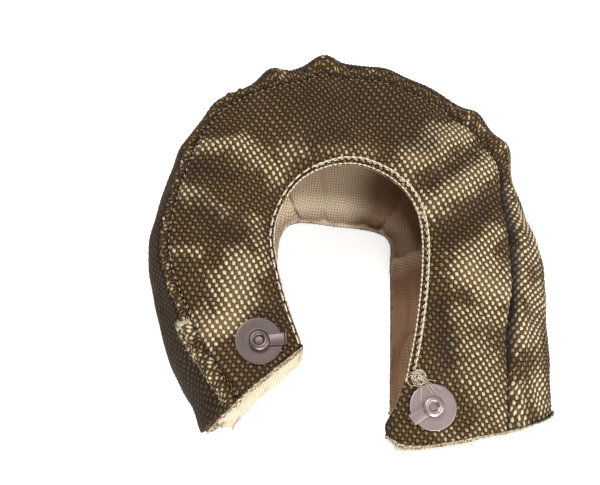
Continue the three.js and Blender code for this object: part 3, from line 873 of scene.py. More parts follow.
class BLANKET_OT_outer_cloth(bpy.types.Operator):
    """Weaves the outer panels of the front, the rim and the back"""

    bl_idname = "blanket.outer_cloth"
    bl_label = "Outer cloth"

    def execute(self, context):
        sizes = in_millimetres(context.scene.blanket_sizes)
        material = outer_cloth_material(sizes, context.scene.blanket_colours)
        for panel, grid in GRIDS.items():
            s, q, points, normals, pull = cloth_grid(panel, *grid)
            lift, painted_glint = wrinkled(panel, s, q, points, pull)
            if panel != "rim":
                lift = hem_round(panel, q, lift)
            u, v = cloth_plan(panel, s, sewn(panel, s, q, points + normals * lift[..., None]))
            raised = lift + sizes.weave_depth * (weave(u, v, sizes) - 0.5)
            if panel == "back":
                raised = np.minimum(raised, 0)
            outer = sewn(panel, s, q, points + normals * raised[..., None])
            inner = sewn(panel, s, q, points + normals * np.minimum(lift, 0)[..., None]) - 0.8 * normals
            piece = closed_sheet(f"{panel}_cloth", outer, inner, CLOTH_STEP)
            cloth_map(piece, u, v, CLOTH_STEP)
            point_values(piece, "painted_glint", painted_glint, CLOTH_STEP)
            point_values(piece, "shade", painted_shade_of(panel, s, q, points), CLOTH_STEP)
            finished(piece, material, "outer_cloth", f"{panel}_outer_panel", fill=0.5)
        return {"FINISHED"}


# Upright folds of the lining: share of the way round, half width in millimetres, height
LINING_FOLDS = [
    (0.40, 4, 3.4), (0.485, 4, 2.8), (0.535, 7, 1.2), (0.60, 5, 1.8), (0.655, 4, 2.6), (0.80, 6, 2.0),
    (0.88, 9, 2.4),
]


def lining_folds(s):
    place = s * WAY_ROUND
    return sum(rise * bell(place, middle * WAY_ROUND, width, 1.5) for middle, width, rise in LINING_FOLDS)


def facing_strip(panel, s, q):
    """The smooth pale tape that faces the lip of the left leg and the arch, from 0 to 1."""
    if panel != "front":
        return np.zeros_like(q)
    return smooth((0.12 - q) / 0.02) * (1 - smooth((s - 0.58) / 0.06)) * 0.8


def lining_stain_and_shade(panel, s, q, points):
    """Painted shade of the lining, with a little random variation: pale under the lip of the left leg and the
    arch, brown on the right wall, which lies in shade, and in a painted shadow beside its first fold."""
    right = smooth((s - 0.52) / 0.1)
    stain_and_shade = -0.12 + 1.05 * right + 0.12 * ripple(points, 50)
    stain_and_shade = stain_and_shade + 0.65 * bell(s * WAY_ROUND, (LINING_FOLDS[0][0] + 0.008) * WAY_ROUND, 2.6)
    if panel == "front":
        stain_and_shade = stain_and_shade * smooth((q - 0.12 * (1 - right)) / 0.3)
    return np.clip(stain_and_shade, 0, 1)


class BLANKET_OT_lining(bpy.types.Operator):
    """Lays the lining inside the front, the rim and the back"""

    bl_idname = "blanket.lining"
    bl_label = "Lining"

    def execute(self, context):
        material = lining_material(in_millimetres(context.scene.blanket_sizes), context.scene.blanket_colours)
        for panel, grid in LINING_GRIDS.items():
            s, q, points, normals, pull = cloth_grid(panel, *grid)
            depth = pad_depth(panel, q, pull)
            from_seam = {"front": 1 - q, "rim": np.minimum(q, 1 - q), "back": q}[panel]
            swell = 0.5 * ripple(points, 21) + 0.8 * np.abs(ripple(points, 38)) + lining_folds(s)
            swell = np.maximum(swell * smooth(from_seam * 8) * (1 - pull), -0.2)
            inner = points - normals * (depth + swell)[..., None]
            outer = points - normals * (depth - LINING)[..., None]
            piece = closed_sheet(f"{panel}_silica_lining", inner, outer, LINING_STEP)
            cloth_map(piece, *cloth_plan(panel, s, points), LINING_STEP)
            point_values(piece, "shade", lining_stain_and_shade(panel, s, q, points), LINING_STEP)
            point_values(piece, "facing", facing_strip(panel, s, q), LINING_STEP)
            finished(piece, material, "lining_cloth", f"{panel}_lining", fill=0.3)
        return {"FINISHED"}


class BLANKET_OT_insulation(bpy.types.Operator):
    """Fills the panels with their mats of silica wool"""

    bl_idname = "blanket.insulation"
    bl_label = "Insulation mats"

    def execute(self, context):
        material = wool_material()
        # The mats of the front and the back start four columns inside the mouth edge
        kept = {"front": slice(4, None), "rim": slice(None), "back": slice(None, -4)}
        for panel, part in kept.items():
            s, q, points, normals, pull = cloth_grid(panel, *MAT_GRID)
            lift = wrinkled(panel, s, q, points, pull)[0]
            from_seam = {
                "front": (1 - q) * FACE_WIDTH,
                "rim": np.minimum(q, 1 - q) * RIM_WIDTH,
                "back": q * FACE_WIDTH,
            }
            sunk = CLOTH + GAP + 3.6 * bell(from_seam[panel], 0, 4.5)
            top = sewn(panel, s, q, points + normals * np.minimum(lift, 0)[..., None])
            top = top - normals * sunk[..., None]
            bottom = points - normals * (pad_depth(panel, q, pull) - LINING - GAP)[..., None]
            piece = closed_sheet(f"{panel}_silica_mat", top[:, part], bottom[:, part], MAT_STEP)
            finished(piece, material, "silica_wool", f"{panel}_insulation_mat", fill=0.7)
        return {"FINISHED"}


# Points across each panel in the outline of a leg end, and across a strip over that end
END_COLUMNS = 49
STRIP_COLUMNS = 17


def bare_section(end, inward):
    """The outline of the outer face, a share of the way round in from a leg end."""
    station = inward if end == "left" else 1 - inward
    s, q = np.meshgrid([station], np.linspace(0, 1, END_COLUMNS), indexing="ij")
    return np.vstack([bare_surface(panel, s, q)[0][0] for panel in GRIDS])


def end_section(end):
    """The outline of the pad at a leg end, all the way from the front mouth to the back mouth:
    its points, normals and depths, and the way out of the end."""
    stations, row = (np.array([0.0, 0.004]), 0) if end == "left" else (np.array([0.996, 1.0]), 1)
    points, normals, depths = [], [], []
    for panel in GRIDS:
        s, q = np.meshgrid(stations, np.linspace(0, 1, END_COLUMNS), indexing="ij")
        grid, pull = bare_surface(panel, s, q)
        points.append(grid[row])
        normals.append(outward(grid, panel)[row])
        depths.append(pad_depth(panel, q[row], pull[row]))
    points = np.vstack(points)
    return points, unit(np.vstack(normals)), np.concatenate(depths), unit(points - bare_section(end, 0.02))


def end_strip(name, end, first, last, bulge, overhang):
    """A strip of cloth across the pad's end, from a share of its depth to a share of its depth.
    Gives the piece and the points of its outer face."""
    points, normals, depths, away = end_section(end)
    rows = []
    for w in np.linspace(0, 1, STRIP_COLUMNS):
        share = first + (last - first) * w
        out = GAP + bulge * math.sin(math.pi * w) + overhang * w
        rows.append(points - normals * (depths * share)[:, None] + away * out)
    face = np.stack(rows, 1)
    behind = face - 0.8 * away[:, None]
    for grid in (face, behind):
        grid += 0.12 * ripple(grid, 5)[..., None] * away[:, None]
    piece = closed_sheet(name, face, behind)
    across = np.linspace(0, 1.2 * PAD_DEPTH * (last - first), STRIP_COLUMNS)
    cloth_map(piece, *np.meshgrid(running_length(face[:, 0]), across, indexing="ij")[::-1])
    return piece, face


def refined(grid, by_rows, by_columns):
    """A grid with so many times more points along its rows and columns."""
    rows, columns = grid.shape[:2]
    r = np.linspace(0, rows - 1, (rows - 1) * by_rows + 1)
    c = np.linspace(0, columns - 1, (columns - 1) * by_columns + 1)
    i, j = np.minimum(r.astype(int), rows - 2), np.minimum(c.astype(int), columns - 2)
    a, b = (r - i)[:, None, None], (c - j)[None, :, None]
    top = grid[i][:, j] * (1 - b) + grid[i][:, j + 1] * b
    bottom = grid[i + 1][:, j] * (1 - b) + grid[i + 1][:, j + 1] * b
    return top * (1 - a) + bottom * a


class BLANKET_OT_leg_ends(bpy.types.Operator):
    """Closes the two leg ends with turned-in cloth and the raw edge of the lining"""

    bl_idname = "blanket.leg_ends"
    bl_label = "Leg ends"

    def execute(self, context):
        cloth = bpy.data.materials["woven_basalt_cloth"]
        pale = bpy.data.materials["woven_silica_lining"]
        thread = thread_material(context.scene.blanket_colours)
        hem, hem_side = hanging_edge(pale)
        flap, flap_up = seam_flap(cloth, in_millimetres(context.scene.blanket_sizes))
        frayed = fringe(hem[:, -1], unit(hem[:, -1] - hem[:, -4]), hem_side[:, -1], 0.24, 2.4, 21)
        frayed += fringe(flap[-1], unit(flap[-1] - flap[-8]), flap_up[-1], 0.22, 3.4, 22)
        frayed += fringe(flap[:, -1], unit(flap[:, -1] - flap[:, -4]), flap_up[:, -1], 0.5, 1.6, 23)
        finished(bundle("left_leg_fringe", frayed), thread, "sewing_thread")
        for end, overhang in (("left", 3.2), ("right", 1.2)):
            piece, face = end_strip(f"{end}_end_fold", end, 0, 0.66, 1.4, 0)
            # Painted highlight: a glint that varies at random over the end folds
            point_values(piece, "painted_glint", np.clip(0.55 + 0.3 * ripple(face, 9), 0, 1))
            finished(piece, cloth, "outer_cloth", f"{end}_end_binding", fill=0.6)
            piece, _ = end_strip(f"{end}_lining_edge", end, 0.6, 1.0, 0.9, overhang)
            finished(piece, pale, "lining_cloth", fill=0.3)
        return {"FINISHED"}


# How the left leg's raw lining edge hangs: steps out from the pad's end and down, in millimetres
HANGING_STEPS = [(0.6, 2.6), (2.2, 3.4), (3.8, 5.0), (4.8, 7.2), (5.4, 9.6), (5.8, 12.0)]
# It reaches over the front and a little way down the rim, counted in points of the outline
HANGING_POINTS = 60


def hanging_edge(material):
    """The lining's raw edge hangs out below the fold of the left leg's end. Gives its points and normals."""
    points, _, _, away = end_section("left")
    points, away = points[:HANGING_POINTS], away[:HANGING_POINTS]
    face = np.stack([points + away * out - np.array([0, 0, drop]) for out, drop in HANGING_STEPS], 1)
    run = np.linspace(0, 1, len(points))
    ends = smooth(run * 12) * smooth((1 - run) * 5)
    face = face[:, :1] + (face - face[:, :1]) * (0.25 + 0.75 * ends)[:, None, None]
    fine = refined(face, 6, 8)
    normals = unit(np.cross(np.gradient(fine, axis=0), np.gradient(fine, axis=1)))
    if (normals[:, 4] * away[0]).sum() < 0:
        normals = -normals
    fine = fine + normals * (0.25 * ripple(fine, 14) + 0.12 * ripple(fine, 4))[..., None]
    piece = closed_sheet("left_lining_flap", fine, fine - normals * 0.7)
    cloth_map(piece, *np.meshgrid(running_length(fine[:, 0]), running_length(fine[90]), indexing="ij"))
    finished(piece, material, "lining_cloth", fill=0.2)
    return fine, normals


# The cut end of the seam that lies frayed on the left leg: stations and share across the rim
SEAM_FLAP_ROWS = (0.006, 0.098)
SEAM_FLAP_WIDTH = 0.13
SEAM_FLAP_GRID = (150, 24)


def seam_flap(material, sizes):
    """A frayed flap of the outer cloth beside the seam of the left leg. Gives its points and normals."""
    run, w = [np.linspace(0, 1, count + 1) for count in SEAM_FLAP_GRID]
    s, w = np.meshgrid(SEAM_FLAP_ROWS[0] + (SEAM_FLAP_ROWS[1] - SEAM_FLAP_ROWS[0]) * run, w, indexing="ij")
    q = 0.004 + w * (SEAM_FLAP_WIDTH * (0.8 + 0.35 * run ** 1.5))[:, None]
    points, pull = bare_surface("rim", s, q)
    normals = outward(points, "rim")
    lift = wrinkled("rim", s, q, points, pull)[0]
    raised_edge = np.sin(np.pi * w) ** 0.5
    stand = 0.5 + 0.9 * raised_edge + 0.35 * ripple(points, 11) + 0.9 * smooth((s - 0.075) / 0.02)
    outer = sewn("rim", s, q, points + normals * lift[..., None])
    u, v = cloth_plan("rim", s, outer)
    outer = outer + normals * (stand + sizes.weave_depth * (weave(u, v, sizes) - 0.5))[..., None]
    piece = closed_sheet("left_seam_flap", outer, outer - normals * 0.9)
    cloth_map(piece, u, v)
    # Painted highlight: the flap glints, more over its stations past 0.07
    flap_glint = 0.4 + 0.6 * smooth((s - 0.07) / 0.02) + 0.4 * ripple(points, 8)
    point_values(piece, "painted_glint", np.clip(flap_glint, 0, 1))
    finished(piece, material, "outer_cloth", fill=0.3)
    return outer, normals


# Corners round each thread and fibre
STRAND_SIDES = 4


def strand(path, radius):
    """Points and faces of a closed tube along a path, with one radius or one for each of its points."""
    tangent = unit(np.gradient(path, axis=0))
    guide = np.array([0.13, 0.31, 0.94])
    side = unit(np.cross(tangent, guide))
    other = np.cross(tangent, side)
    turn = 2 * math.pi * np.arange(STRAND_SIDES) / STRAND_SIDES
    radii = np.broadcast_to(radius, len(path))
    ring = side[:, None] * np.cos(turn)[None, :, None] + other[:, None] * np.sin(turn)[None, :, None]
    points = (path[:, None] + ring * radii[:, None, None]).reshape(-1, 3)
    faces = []
    for start in range(0, (len(path) - 1) * STRAND_SIDES, STRAND_SIDES):
        for k in range(STRAND_SIDES):
            a, b = start + k, start + (k + 1) % STRAND_SIDES
            faces.append((a, b, b + STRAND_SIDES, a + STRAND_SIDES))
    end = (len(path) - 1) * STRAND_SIDES
    faces.append(tuple(range(STRAND_SIDES))[::-1])
    faces.append(tuple(end + k for k in range(STRAND_SIDES)))
    return points, faces


def bundle(name, strands):
    """One object from many strands."""
    points, faces, start = [], [], 0
    for part_points, part_faces in strands:
        points.append(part_points)
        faces += [tuple(start + k for k in face) for face in part_faces]
        start += len(part_points)
    return mesh_piece(name, np.vstack(points), faces)


# Points along a line of stitches
LINE_POINTS = 1400


def cloth_line(panel, insets, shares):
    """A line along the outer cloth beside the mouth edge: its points, its normals and the way across it.
    The insets are its distances from the edge on the left and on the right."""
    s = np.linspace(*shares, LINE_POINTS)
    inset = insets[0] + (insets[1] - insets[0]) * smooth((s - 0.35) / 0.2)
    from_lip = inset[:, None] / FACE_WIDTH + np.array([-0.004, 0, 0.004])
    q = from_lip if panel == "front" else 1 - from_lip
    s = np.repeat(s[:, None], 3, 1)
    points, pull = bare_surface(panel, s, q)
    normals = outward(points, panel)
    surface = points + normals * wrinkled(panel, s, q, points, pull)[0][..., None]
    return surface[:, 1], normals[:, 1], unit(surface[:, 2] - surface[:, 0])


def seam_line(seam, shares, depth):
    """The same for a seam between two panels."""
    s = np.linspace(*shares, LINE_POINTS)
    line = seam_valley(s, seam, depth)
    normals = unit(seam_valley(s, seam, depth - 1) - line)
    return line, normals, unit(np.cross(np.gradient(line, axis=0), normals))


def stitches(route, pitch, diameter, rise, chain=False, gap=0.03, seed=11):
    """Stitches along a route, each of two twisted plies that dip into the cloth at both ends.
    A chain has a third ply that loops from side to side."""
    line, normals, ways_across = route
    total = running_length(line)
    draw = np.random.default_rng(seed)
    w = np.linspace(0, 1, 7)
    hump = np.sin(math.pi * w) ** 0.5
    radius = diameter * 0.34
    height = rise * (2 * hump - 1) + 0.2
    made = []
    start = 0.4
    while start + pitch < total[-1]:
        place = start + w * pitch * (1 - gap)
        where = along(place, total, line)
        up, out = unit(along(place, total, normals)), unit(along(place, total, ways_across))
        lean = draw.uniform(-0.3, 0.3) * diameter
        for ply in range(2):
            phase = math.pi * ply + 2 * math.pi * pitch / 3 * w + draw.uniform(0, 0.6)
            sideways = lean * (w - 0.5) + 0.3 * diameter * np.cos(phase) * hump
            upward = height + 0.22 * diameter * np.sin(phase) * hump
            body = where + out * sideways[:, None] + up * upward[:, None]
            made.append(strand(body, radius * (0.5 + 0.5 * hump)))
        if chain:
            swing = 0.85 * diameter * np.sin(2 * math.pi * w) - 0.45 * diameter
            body = where + out * swing[:, None] + up * (0.25 + 0.35 * hump)[:, None]
            made.append(strand(body, radius * 0.8))
        start += pitch * draw.uniform(0.96, 1.05)
    return made


TUFT_PLACE = (29.6, -71.0, 74.9)


def knot_tuft(middle, seed):
    """The knotted tail of the topstitch: short curls, and long ends that lie over the washer."""
    draw = np.random.default_rng(seed)
    made = []
    w = np.linspace(0, 1, 8)
    for _ in range(20):
        centre = middle + np.array([*draw.normal(0, 1.7, 2), 0])
        angle = draw.uniform(0, 2 * math.pi) + draw.uniform(2.5, 5.2) * w
        size = draw.uniform(0.8, 2.6) * (1 + 0.5 * w)
        height = draw.uniform(0.1, 1.1) + 0.3 * np.sin(math.pi * w)
        curl = np.stack([size * np.cos(angle), size * np.sin(angle), height], 1)
        made.append(strand(centre + curl, 0.15 * (1 - 0.4 * w)))
    for _ in range(6):
        reach, heading = draw.uniform(7, 13), math.radians(draw.uniform(-74, -26))
        forward = np.array([math.cos(heading), math.sin(heading), 0])
        sideways = np.array([-forward[1], forward[0], 0])
        bend = draw.uniform(-0.35, 0.35) * reach
        body = middle + forward * (reach * w)[:, None] + sideways * (bend * w ** 2)[:, None]
        body[:, 2] += draw.uniform(0.4, 0.9) * np.sin(math.pi * w) + 1.15 * smooth(w * 2.5)
        made.append(strand(body, 0.13 * (1 - 0.4 * w)))
    return made


class BLANKET_OT_stitching(bpy.types.Operator):
    """Sews the rows of stitches round the front and back mouth and along the seams"""

    bl_idname = "blanket.stitching"
    bl_label = "Stitching"

    def execute(self, context):
        sizes = in_millimetres(context.scene.blanket_sizes)
        material = bpy.data.materials["twisted_glass_thread"]
        thick, pitch = sizes.thread_diameter, sizes.stitch_length
        top, edge, back = (2.3, 4.0), (0.5, 0.9), (2.4, 2.4)
        topstitch = stitches(cloth_line("front", top, (0.004, 0.412)), pitch, thick, 0.45, gap=0.16)
        topstitch += stitches(cloth_line("front", top, (0.4, 0.957)), pitch * 0.62, thick, 0.35, chain=True)
        topstitch += knot_tuft(np.array(TUFT_PLACE), 31)
        edging = stitches(cloth_line("front", edge, (0.004, 0.3)), pitch, thick * 0.6, 0.2, seed=12)
        edging += stitches(cloth_line("front", edge, (0.29, 0.962)), pitch * 0.45, thick * 0.85, 0.2, seed=13)
        behind = stitches(cloth_line("back", back, (0.004, 0.996)), pitch, thick, 0.1, seed=14)
        front_seam = seam_line(FRONT_SEAM, (0.004, 0.72), SEAM_SINK)
        back_seam = seam_line(BACK_SEAM, (0.004, 0.996), BACK_SEAM_SINK)
        seams = stitches(front_seam, 3.1, 0.5, 0.1, gap=0.5, seed=15)
        seams += stitches(back_seam, 3.4, 0.55, 0.1, gap=0.4, seed=16)
        for name, made, *node in (
            ("front_topstitch", topstitch, "front_mouth_topstitch"),
            ("front_edge_stitch", edging, "front_mouth_edge_stitch"),
            ("back_topstitch", behind, "back_mouth_topstitch"),
            ("seam_stitches", seams),
        ):
            finished(bundle(name, made), material, "sewing_thread", *node)
        return {"FINISHED"}


# How far loose fibres lean to either side, as a share of their length
FIBRE_LEAN = 0.5


def fringe(line, away, up, spacing, reach, seed):
    """Loose fibres along a raw edge."""
    draw = np.random.default_rng(seed)
    total = running_length(line)
    w = np.linspace(0, 1, 5)[:, None]
    made = []
    for place in np.arange(0.2, total[-1], spacing):
        place += draw.uniform(-0.5, 0.5) * spacing
        base, out, lift = [along(place, total, values) for values in (line, away, up)]
        size = reach * draw.uniform(0.35, 1.0)
        side = np.cross(out, lift) * draw.uniform(-FIBRE_LEAN, FIBRE_LEAN)
        rise = draw.uniform(-0.25, 0.45)
        bend = side * w ** 1.6 + lift * rise * w ** 2
        made.append(strand(base - out * 0.4 + (out * w + bend) * size, np.linspace(0.11, 0.05, 5)))
    return made


# Raw edges at a leg end: share of the pad's depth, spacing, share of the fibres' length, seed
RAW_EDGES = [(0.02, 0.42, 0.7, 3), (0.62, 0.34, 0.9, 5), (0.98, 0.3, 0.8, 9)]


class BLANKET_OT_raw_edges(bpy.types.Operator):
    """Frays the raw edges of the leg ends"""

    bl_idname = "blanket.raw_edges"
    bl_label = "Raw edges"

    def execute(self, context):
        reach = in_millimetres(context.scene.blanket_sizes).fringe_length
        thread = bpy.data.materials["twisted_glass_thread"]
        for end, overhang in (("left", 3.4), ("right", 1.4)):
            points, normals, depths, away = end_section(end)
            made = []
            for share, spacing, size, seed in RAW_EDGES:
                out = 0.9 + overhang * max(0, share - 0.6) / 0.4
                for number in range(len(GRIDS)):
                    part = slice(number * END_COLUMNS, (number + 1) * END_COLUMNS)
                    line = points[part] - normals[part] * (depths[part] * share)[:, None] + away[part] * out
                    made += fringe(line, away[part], -normals[part], spacing, reach * size, seed + number)
            finished(bundle(f"{end}_end_fringe", made), thread, "sewing_thread")
        return {"FINISHED"}


def metal_piece(name, points, edges, faces):
    """A new object from points in millimetres, selected for the edit that follows."""
    mesh = bpy.data.meshes.new(name)
    mesh.from_pydata([[c * MM for c in point] for point in points], edges, faces)
    piece = new_object(name, mesh)
    bpy.ops.object.select_all(action="DESELECT")
    bpy.context.view_layer.objects.active = piece
    piece.select_set(True)
    return piece


def set_in_place(piece, place, angle):
    """Turns the faces of an edited piece out, moves it to its anchor and smooths it up to an angle."""
    bpy.ops.mesh.select_all(action="SELECT")
    bpy.ops.mesh.normals_make_consistent(inside=False)
    bpy.ops.object.mode_set(mode="OBJECT")
    piece.data.transform(place)
    bpy.ops.object.shade_smooth_by_angle(angle=math.radians(angle))
    return piece


def lathe(name, profile, segments, place):
    """A turned piece: a profile of radius and height, spun round the anchor's axis."""
    ring = [(k, (k + 1) % len(profile)) for k in range(len(profile))]
    piece = metal_piece(name, [(r, 0, z) for r, z in profile], ring, [])
    bpy.ops.object.mode_set(mode="EDIT")
    bpy.ops.mesh.select_all(action="SELECT")
    bpy.ops.mesh.spin(steps=segments, angle=2 * math.pi, center=(0, 0, 0), axis=(0, 0, 1))
    bpy.ops.mesh.select_all(action="SELECT")
    bpy.ops.mesh.remove_doubles(threshold=1e-6)
    return set_in_place(piece, place, 32)


# Heights of the anchor pieces above their seat on the cloth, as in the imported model
WASHER_BOTTOM = 0.3
WASHER_TOP = 1.3
STRAP_BOTTOM = 1.6
STRAP_TOP = 2.4
HEAD_BOTTOM = 2.7
HEAD_TOP = 4.1
BACKING_TOP = -(LIP_DEPTH + MAT_AT_RIVET) - 0.3
BACKING_BOTTOM = BACKING_TOP - 0.8
TAIL_TOP = BACKING_BOTTOM - 0.3
TAIL_BOTTOM = TAIL_TOP - 0.9
# The strap, from its squared-off back end to its hook
STRAP_HALF_WIDTH = 2.75
STRAP_BACK = -3.4
STRAP_REACH = 12.8
STRAP_TAB = 2.2
STRAP_THICK = 0.8
# The back end is cut narrower, as a share of the width
STRAP_TAPER = 0.72


def round_profile(corners, radius, steps=4):
    """A closed profile with its sharp corners rounded."""
    made = []
    count = len(corners)
    for k in range(count):
        before, here, after = [np.array(corners[(k + step) % count], float) for step in (-1, 0, 1)]
        to_before, to_after = before - here, after - here
        cut = min(radius, 0.45 * np.linalg.norm(to_before), 0.45 * np.linalg.norm(to_after))
        a = here + unit(to_before) * cut
        b = here + unit(to_after) * cut
        for w in np.linspace(0, 1, steps):
            made.append(tuple((1 - w) ** 2 * a + 2 * w * (1 - w) * here + w * w * b))
    return made


def anchor_place(name):
    spot, seat, bearing = ANCHORS[name]
    place = Matrix.Translation(Vector(((spot[0] + HUB[0]) * MM, (spot[1] + HUB[1]) * MM, seat * MM)))
    turn = math.radians(bearing)
    if name.startswith("back"):
        return place @ Matrix.Rotation(math.pi, 4, "X") @ Matrix.Rotation(-turn, 4, "Z")
    return place @ Matrix.Rotation(turn, 4, "Z")


def hook_strap(name, place):
    """A strap with a bent-up end, cut from strip and bevelled."""
    low, high, reach, inner = STRAP_BOTTOM, STRAP_TOP, STRAP_REACH, STRAP_REACH - STRAP_THICK
    path = [
        (STRAP_BACK, low), (reach - 0.9, low), (reach - 0.25, low + 0.25), (reach, low + 0.9),
        (reach, high + STRAP_TAB), (inner, high + STRAP_TAB), (inner, high + 0.35), (inner - 0.35, high),
        (STRAP_BACK, high),
    ]
    count = len(path)
    widths = [STRAP_HALF_WIDTH * (STRAP_TAPER if x == STRAP_BACK else 1) for x, _ in path]
    points = [(x, side * half, z) for side in (-1, 1) for (x, z), half in zip(path, widths)]
    faces = [tuple(range(count))[::-1], tuple(range(count, 2 * count))]
    faces += [(k, (k + 1) % count, count + (k + 1) % count, count + k) for k in range(count)]
    piece = metal_piece(name, points, [], faces)
    bevel = piece.modifiers.new("edges", "BEVEL")
    bevel.width = 0.16 * MM
    bevel.segments = 3
    bevel.limit_method = "ANGLE"
    bpy.ops.object.modifier_apply(modifier="edges")
    bpy.ops.object.mode_set(mode="EDIT")
    return set_in_place(piece, place, 35)


class BLANKET_OT_lacing_anchors(bpy.types.Operator):
    """Rivets a washer, a hook strap and a backing washer at each lacing point"""

    bl_idname = "blanket.lacing_anchors"
    bl_label = "Lacing anchors"

    def execute(self, context):
        edge = in_millimetres(context.scene.blanket_sizes).washer_edge
        colours = context.scene.blanket_colours
        # Painted shade and light: the left anchors take the darker copy of the steel, the right ones the
        # lighter.
        shaded_steel = steel_material("satin_stainless_shaded", colours.steel_shaded_copy)
        lit_steel = steel_material("satin_stainless_lit", colours.steel_lit_copy)
        washer = round_profile([
            (2.7, WASHER_BOTTOM), (11, WASHER_BOTTOM), (11, WASHER_TOP - 0.1), (10.6, WASHER_TOP),
            (6.4, WASHER_TOP - 0.15), (2.7, WASHER_TOP),
        ], edge)
        rivet = round_profile([
            (1.5, TAIL_BOTTOM), (4.8, TAIL_BOTTOM), (4.8, TAIL_TOP), (2.4, TAIL_TOP), (2.4, HEAD_BOTTOM),
            (4.8, HEAD_BOTTOM), (4.9, HEAD_BOTTOM + 0.5), (3.9, HEAD_TOP), (2.5, HEAD_TOP - 0.1),
            (1.7, HEAD_BOTTOM - 0.4), (1.5, HEAD_BOTTOM - 2),
        ], 0.55, 5)
        backing = round_profile([
            (2.7, BACKING_BOTTOM), (8, BACKING_BOTTOM), (8, BACKING_TOP), (2.7, BACKING_TOP),
        ], 0.2)
        for name in ANCHORS:
            place = anchor_place(name)
            for piece, node in (
                (lathe(f"{name}_stamped_washer", washer, 96, place), "washer"),
                (hook_strap(f"{name}_bent_strap", place), "hook_strap"),
                (lathe(f"{name}_tubular_rivet", rivet, 64, place), "rivet"),
                (lathe(f"{name}_plain_washer", backing, 72, place), "backing_washer"),
            ):
                finished(piece, shaded_steel if name.endswith("left") else lit_steel, "stainless_steel", f"{name}_{node}")
        return {"FINISHED"}


# The photograph's view: how far the camera leans from straight above in degrees, its distance from
# the hub in metres, its focal length in pixels, and where the hub shows in the picture
LEAN_DOWN = 18
LEAN_LEFT = 8
CAMERA_DISTANCE = 0.62
FOCAL_PIXELS = 1265
HUB_PIXEL = (350, 238)
PICTURE = (600, 485)
HUB_HEIGHT = 0.06


def photo_camera():
    back = Vector((-math.tan(math.radians(LEAN_LEFT)), -math.tan(math.radians(LEAN_DOWN)), 1)).normalized()
    right = (-back).cross(Vector((0, 1, 0))).normalized()
    up = back.cross(right)
    straight = Matrix((right, up, back)).transposed()
    off_x, off_y = HUB_PIXEL[0] - PICTURE[0] / 2, PICTURE[1] / 2 - HUB_PIXEL[1]
    seen = Vector((off_x / FOCAL_PIXELS, off_y / FOCAL_PIXELS, -1))
    tilt = seen.normalized().rotation_difference(Vector((0, 0, -1))).to_matrix()
    data = bpy.data.cameras.new("photo_camera")
    data.sensor_width = 36
    data.lens = FOCAL_PIXELS * data.sensor_width / PICTURE[0]
    data.clip_start, data.clip_end = 0.01, 10
    camera = new_object("photo_camera", data)
    hub = Vector((HUB[0] * MM, HUB[1] * MM, HUB_HEIGHT))
    camera.matrix_world = Matrix.Translation(hub + back * CAMERA_DISTANCE) @ (straight @ tilt).to_4x4()
    bpy.context.scene.camera = camera


def area_light(name, place, target, size, power):
    data = bpy.data.lights.new(name, "AREA")
    data.shape = "RECTANGLE"
    data.size, data.size_y = size
    data.energy = power
    lamp = new_object(name, data)
    lamp.location = place
    lamp.rotation_mode = "QUATERNION"
    lamp.rotation_quaternion = (Vector(target) - Vector(place)).to_track_quat("-Z", "Y")


def seen_by(tree, first, second):
    """1 for rays of either kind, 0 for all others."""
    rays = add_node(tree, "ShaderNodeLightPath", {}).node.outputs
    return add_node(tree, MATH, {"operation": "MAXIMUM"}, rays[first], rays[second])


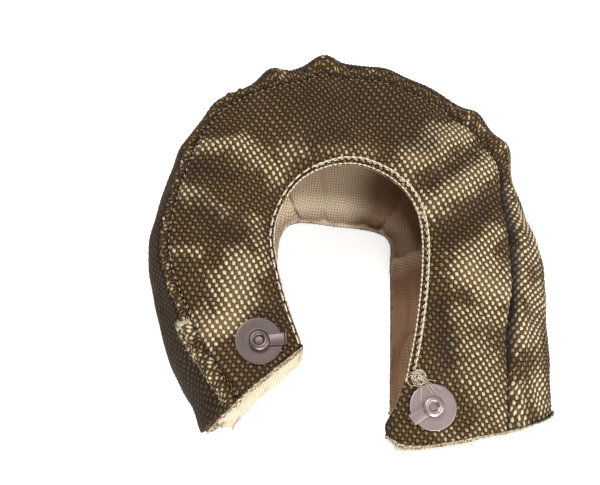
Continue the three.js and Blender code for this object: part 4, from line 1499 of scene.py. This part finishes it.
class BLANKET_OT_stage(bpy.types.Operator):
    """Sets the pale floor, the soft lights and the camera"""

    bl_idname = "blanket.stage"
    bl_label = "Stage"

    def execute(self, context):
        scene = context.scene
        bpy.ops.object.select_all(action="DESELECT")
        bpy.ops.mesh.primitive_plane_add(size=6, location=(0, 0, -0.0002))
        floor = context.object
        floor.name = "studio_floor"
        material, tree, shader = new_material("white_paper_floor", 0.9)
        shader.inputs["Base Color"].default_value = (0.9, 0.9, 0.9, 1)
        seen = seen_by(tree, "Is Camera Ray", "Is Glossy Ray")
        glow = add_node(tree, "ShaderNodeEmission", {}, (1, 1, 1), 0.55)
        lit = add_node(tree, "ShaderNodeAddShader", {}, shader.outputs[0], glow)
        either = add_node(tree, "ShaderNodeMixShader", {}, seen, shader.outputs[0], lit)
        tree.links.new(either, tree.nodes["Material Output"].inputs["Surface"])
        floor.data.materials.append(material)

        world = bpy.data.worlds.new("soft_room")
        scene.world = world
        world.use_nodes = True
        tree = world.node_tree
        background = tree.nodes["Background"]
        background.inputs["Color"].default_value = (1, 1, 1, 1)
        power = add_node(tree, MATH, SCALED, seen_by(tree, "Is Camera Ray", "Is Transmission Ray"), 0.5, 0.5)
        tree.links.new(power, background.inputs["Strength"])

        area_light("key_softbox", (-0.35, 0.45, 0.9), (0, 0, 0.05), (0.5, 0.4), 6.2)
        area_light("side_softbox", (0.7, -0.25, 0.6), (0, 0, 0.04), (0.4, 0.5), 4)
        area_light("front_softbox", (0.15, -0.8, 0.42), (0, 0.05, 0.04), (0.6, 0.4), 7.2)
        photo_camera()
        scene.view_settings.view_transform = "Standard"
        return {"FINISHED"}


class BLANKET_PT_panel(bpy.types.Panel):
    """Buttons that build the blanket piece by piece"""

    bl_idname = "BLANKET_PT_panel"
    bl_label = "Turbo heat blanket"
    bl_space_type = "VIEW_3D"
    bl_region_type = "UI"
    bl_category = "Blanket"

    def draw(self, context):
        for group in (context.scene.blanket_sizes, context.scene.blanket_colours):
            for name in type(group).__annotations__:
                self.layout.prop(group, name)
        for operator in OPERATORS:
            self.layout.operator(operator.bl_idname)


OPERATORS = (
    BLANKET_OT_outer_cloth,
    BLANKET_OT_lining,
    BLANKET_OT_insulation,
    BLANKET_OT_leg_ends,
    BLANKET_OT_stitching,
    BLANKET_OT_raw_edges,
    BLANKET_OT_lacing_anchors,
    BLANKET_OT_stage,
)
CLASSES = (BlanketSizes, BlanketColours, *OPERATORS, BLANKET_PT_panel)


def register():
    for item in CLASSES:
        bpy.utils.register_class(item)
    bpy.types.Scene.blanket_sizes = bpy.props.PointerProperty(type=BlanketSizes)
    bpy.types.Scene.blanket_colours = bpy.props.PointerProperty(type=BlanketColours)


def unregister():
    del bpy.types.Scene.blanket_colours
    del bpy.types.Scene.blanket_sizes
    for item in reversed(CLASSES):
        bpy.utils.unregister_class(item)


def main():
    register()
    bpy.ops.blanket.outer_cloth()
    bpy.ops.blanket.lining()
    bpy.ops.blanket.insulation()
    bpy.ops.blanket.leg_ends()
    bpy.ops.blanket.stitching()
    bpy.ops.blanket.raw_edges()
    bpy.ops.blanket.lacing_anchors()
    bpy.ops.blanket.stage()


if __name__ == "__main__":
    main()
